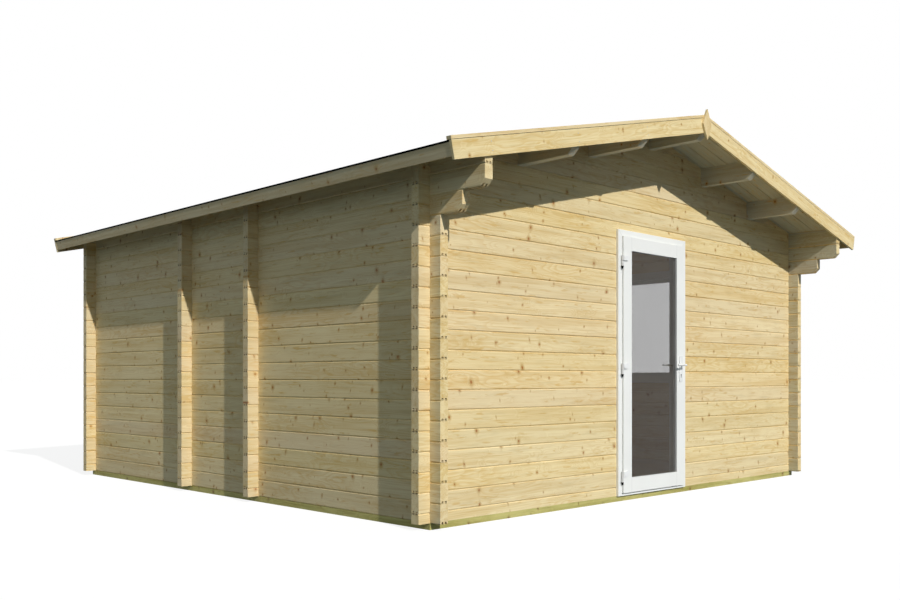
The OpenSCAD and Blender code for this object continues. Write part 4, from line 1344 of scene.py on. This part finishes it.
def window_hinge(z):
    """A hinge on the sash's rear edge, its middle at a height."""
    x, y = casing_x + HINGE_OUT, sash_high.y + HINGE_OUT
    parts = []
    for low, high in ((z - BARREL_H / 2, z - KNUCKLE_GAP), (z + KNUCKLE_GAP, z + BARREL_H / 2)):
        knuckle = add(bpy.ops.mesh.primitive_cylinder_add, vertices=32, radius=BARREL_R,
                      depth=high - low, location=(x, y, (low + high) / 2))
        bevel(knuckle, "FACE", lambda mid, way: abs(way.z) > 0.9, offset=0.0008, segments=2)
        bpy.ops.object.shade_smooth_by_angle(angle=math.radians(40))
        parts.append(knuckle)
    plate = block("hinge_plate", (sash_high.x, y - PLATE_L, z + PLATE_Z[0]),
                  (sash_high.x + PLATE_T, y, z + PLATE_Z[1]))
    bevel(plate, "EDGE", lambda mid, way: abs(way.x) > 0.9 and mid.y < y - 0.07,
          offset=0.012, segments=6)
    strap = block("hinge_strap", (casing_x, y - STRAP_HALF, z - STRAP_Z[0]),
                  (x, y + STRAP_HALF, z - STRAP_Z[1]))
    return parts + [plate, strap], hinge_point(x, y, z - BARREL_H / 2)


hinge_parts, hinge_tips = [], []
for z in (sash_low.z + HINGE_INSET, sash_high.z - HINGE_INSET):
    metal_parts, tip = window_hinge(z)
    hinge_parts += metal_parts
    hinge_tips.append(tip)
wear(join("window_hinges", hinge_parts), hinge_metal, "house")
wear(join("window_hinge_points", hinge_tips), black_plastic, "house")
print("window hinges:", len(hinge_tips))

# %% [markdown]
# The handle is inside, on the sash's front edge: a rounded base, a neck and a rounded grip.

# %% Window handle
HANDLE_INSET = 0.0405
BASE_T, BASE_HALF = 0.008, (0.0120, 0.034)
GRIP_X, GRIP_HALF = (0.046, 0.034), 0.0095
GRIP_BELOW, GRIP_ABOVE = 0.105, 0.012


def window_handle():
    """A base plate on the sash, a neck out of it and a grip that hangs down."""
    x, y, z = sash_low.x, sash_low.y + HANDLE_INSET, middle("window_sash", 2)
    base = rounded_plate("handle_base", (x - BASE_T, y - BASE_HALF[0], z - BASE_HALF[1]),
                         (x, y + BASE_HALF[0], z + BASE_HALF[1]), 0.006)
    neck = add(bpy.ops.mesh.primitive_cylinder_add, vertices=24, radius=0.0075, depth=0.030,
               location=(x - 0.023, y, z), rotation=(0, math.radians(90), 0))
    bevel(neck, "FACE", lambda mid, way: abs(way.x) > 0.9, offset=0.001, segments=2)
    grip = block("handle_grip", (x - GRIP_X[0], y - GRIP_HALF, z - GRIP_BELOW),
                 (x - GRIP_X[1], y + GRIP_HALF, z + GRIP_ABOVE))
    bevel(grip, "EDGE", lambda mid, way: True, offset=0.0048, segments=4)
    bpy.ops.object.shade_smooth_by_angle(angle=math.radians(50))
    return join("window_handle", [base, neck, grip])


window_grip = wear(window_handle(), handle_white, "house")
print(window_grip.name, len(window_grip.data.polygons), "faces")

# %% [markdown]
# ## Light, floor and camera
#
# Clear sun from the front left rakes along the side wall. A wide, weak lamp from below stands
# for the light that bright ground throws up under the eaves.


# %% Sun and light off the ground
def distant_lamp(name, way, energy, colour, angle):
    """A lamp like the sun that shines along a direction. The angle is in degrees."""
    data = bpy.data.lights.new(name, "SUN")
    data.energy = energy
    data.color = colour
    data.angle = math.radians(angle)
    lamp = bpy.data.objects.new(name, data)
    lamp.rotation_euler = Vector(way).to_track_quat("-Z", "Y").to_euler()
    bpy.context.collection.objects.link(lamp)
    return lamp


sun = distant_lamp("sun", way=(0.182, 0.830, -0.527), energy=3.05,
                   colour=(1.0, 0.980, 0.956), angle=0.8)
fill = distant_lamp("ground_fill", way=(0.35, 0.65, 0.67), energy=0.24,
                    colour=(0.65, 0.93, 1.02), angle=60)
print("lamps:", sun.name, fill.name)

# %% [markdown]
# A pale sky fills the shade, bluer near the horizon. The sky and the floor show white behind
# the house, but only to rays that come from the camera, a mirror or a pane: what they send
# onto the wood stays at the level of soft shade.

# %% Sky
SKY_HIGH = rgb(0.235, 0.250, 0.250)
SKY_LOW = rgb(0.320, 0.405, 0.455)


def seen(m):
    """1 for rays that show a surface to the camera, a mirror or through glass."""
    outputs = m.node("LightPath").socket.node.outputs
    camera, glossy, through = [Wire(m.tree, outputs[n]) for n in (
        "Is Camera Ray", "Is Glossy Ray", "Is Transmission Ray")]
    return camera.math("MAXIMUM", glossy).math("MAXIMUM", through)


class WorldFinish(Finish):
    """The same wires for the sky."""

    def __init__(self, name):
        self.world = bpy.data.worlds.new(name)
        self.world.use_nodes = True
        self.tree = self.world.node_tree
        self.tree.nodes.clear()

    def finish(self, shader):
        output = self.tree.nodes.new("ShaderNodeOutputWorld")
        self.tree.links.new(shader.socket, output.inputs["Surface"])


sky = WorldFinish("sky")
up = sky.split("XYZ", sky.node("TexCoord", out="Generated"))[2]
shade = sky.mix(sky.ramp(up, 0.10, 0.55), SKY_LOW, SKY_HIGH)
sky.finish(sky.node("Background", {}, {
    "Color": sky.mix(seen(sky), shade, rgb(1.0, 1.0, 1.0)), "Strength": 1.0}))
bpy.context.scene.world = sky.world
print("sky set:", sky.world.name)

# %% [markdown]
# The room would be black behind the glass, so a soft lamp that no pane mirrors lights it a
# little. The floor outside is pale and keeps the house's shadow.

# %% Room lamp and floor
FLOOR_GREY = rgb(0.20, 0.20, 0.20)
FLOOR_DULL = rgb(0.05, 0.08, 0.11)
FLOOR_GLOW = 0.86
room_data = bpy.data.lights.new("room_lamp", "POINT")
room_data.energy = 9.0
room_data.shadow_soft_size = 0.5
room_lamp = bpy.data.objects.new("room_lamp", room_data)
room_lamp.location = (0.0, 0.15, 1.7)
room_lamp.visible_camera = False
room_lamp.visible_glossy = False
bpy.context.collection.objects.link(room_lamp)

floor = add(bpy.ops.mesh.primitive_plane_add, size=600, location=(0, 0, 0))
floor.name = "studio_floor"
floor.visible_shadow = False
m = Finish("studio_floor")
matt = m.node("BsdfDiffuse", {}, {"Color": m.mix(seen(m), FLOOR_DULL, FLOOR_GREY)})
glow = m.node("Emission", {}, {"Color": rgb(1, 1, 1), "Strength": seen(m) * FLOOR_GLOW})
m.finish(m.node("AddShader", {}, {0: matt, 1: glow}))
floor.data.materials.append(m.material)
print(f"room lamp of {room_data.energy} W and floor set")

# %% [markdown]
# The camera stands at eye height off the front left corner. It looks level, and its lens is
# shifted up so that the house's upright edges stay upright.

# %% Camera
eye = bpy.data.cameras.new("camera")
eye.lens = 38.04
eye.sensor_width = 36.0
eye.shift_y = 0.0875
eye.clip_end = 1000
camera = bpy.data.objects.new("camera", eye)
camera.location = (-6.864, -6.988, 0.998)
camera.rotation_euler = (math.radians(90), 0, math.radians(-44.42))
bpy.context.collection.objects.link(camera)
bpy.context.scene.camera = camera
bpy.context.scene.view_settings.view_transform = "Standard"
print(f"camera at {camera.location.z:.3f} m above the ground")
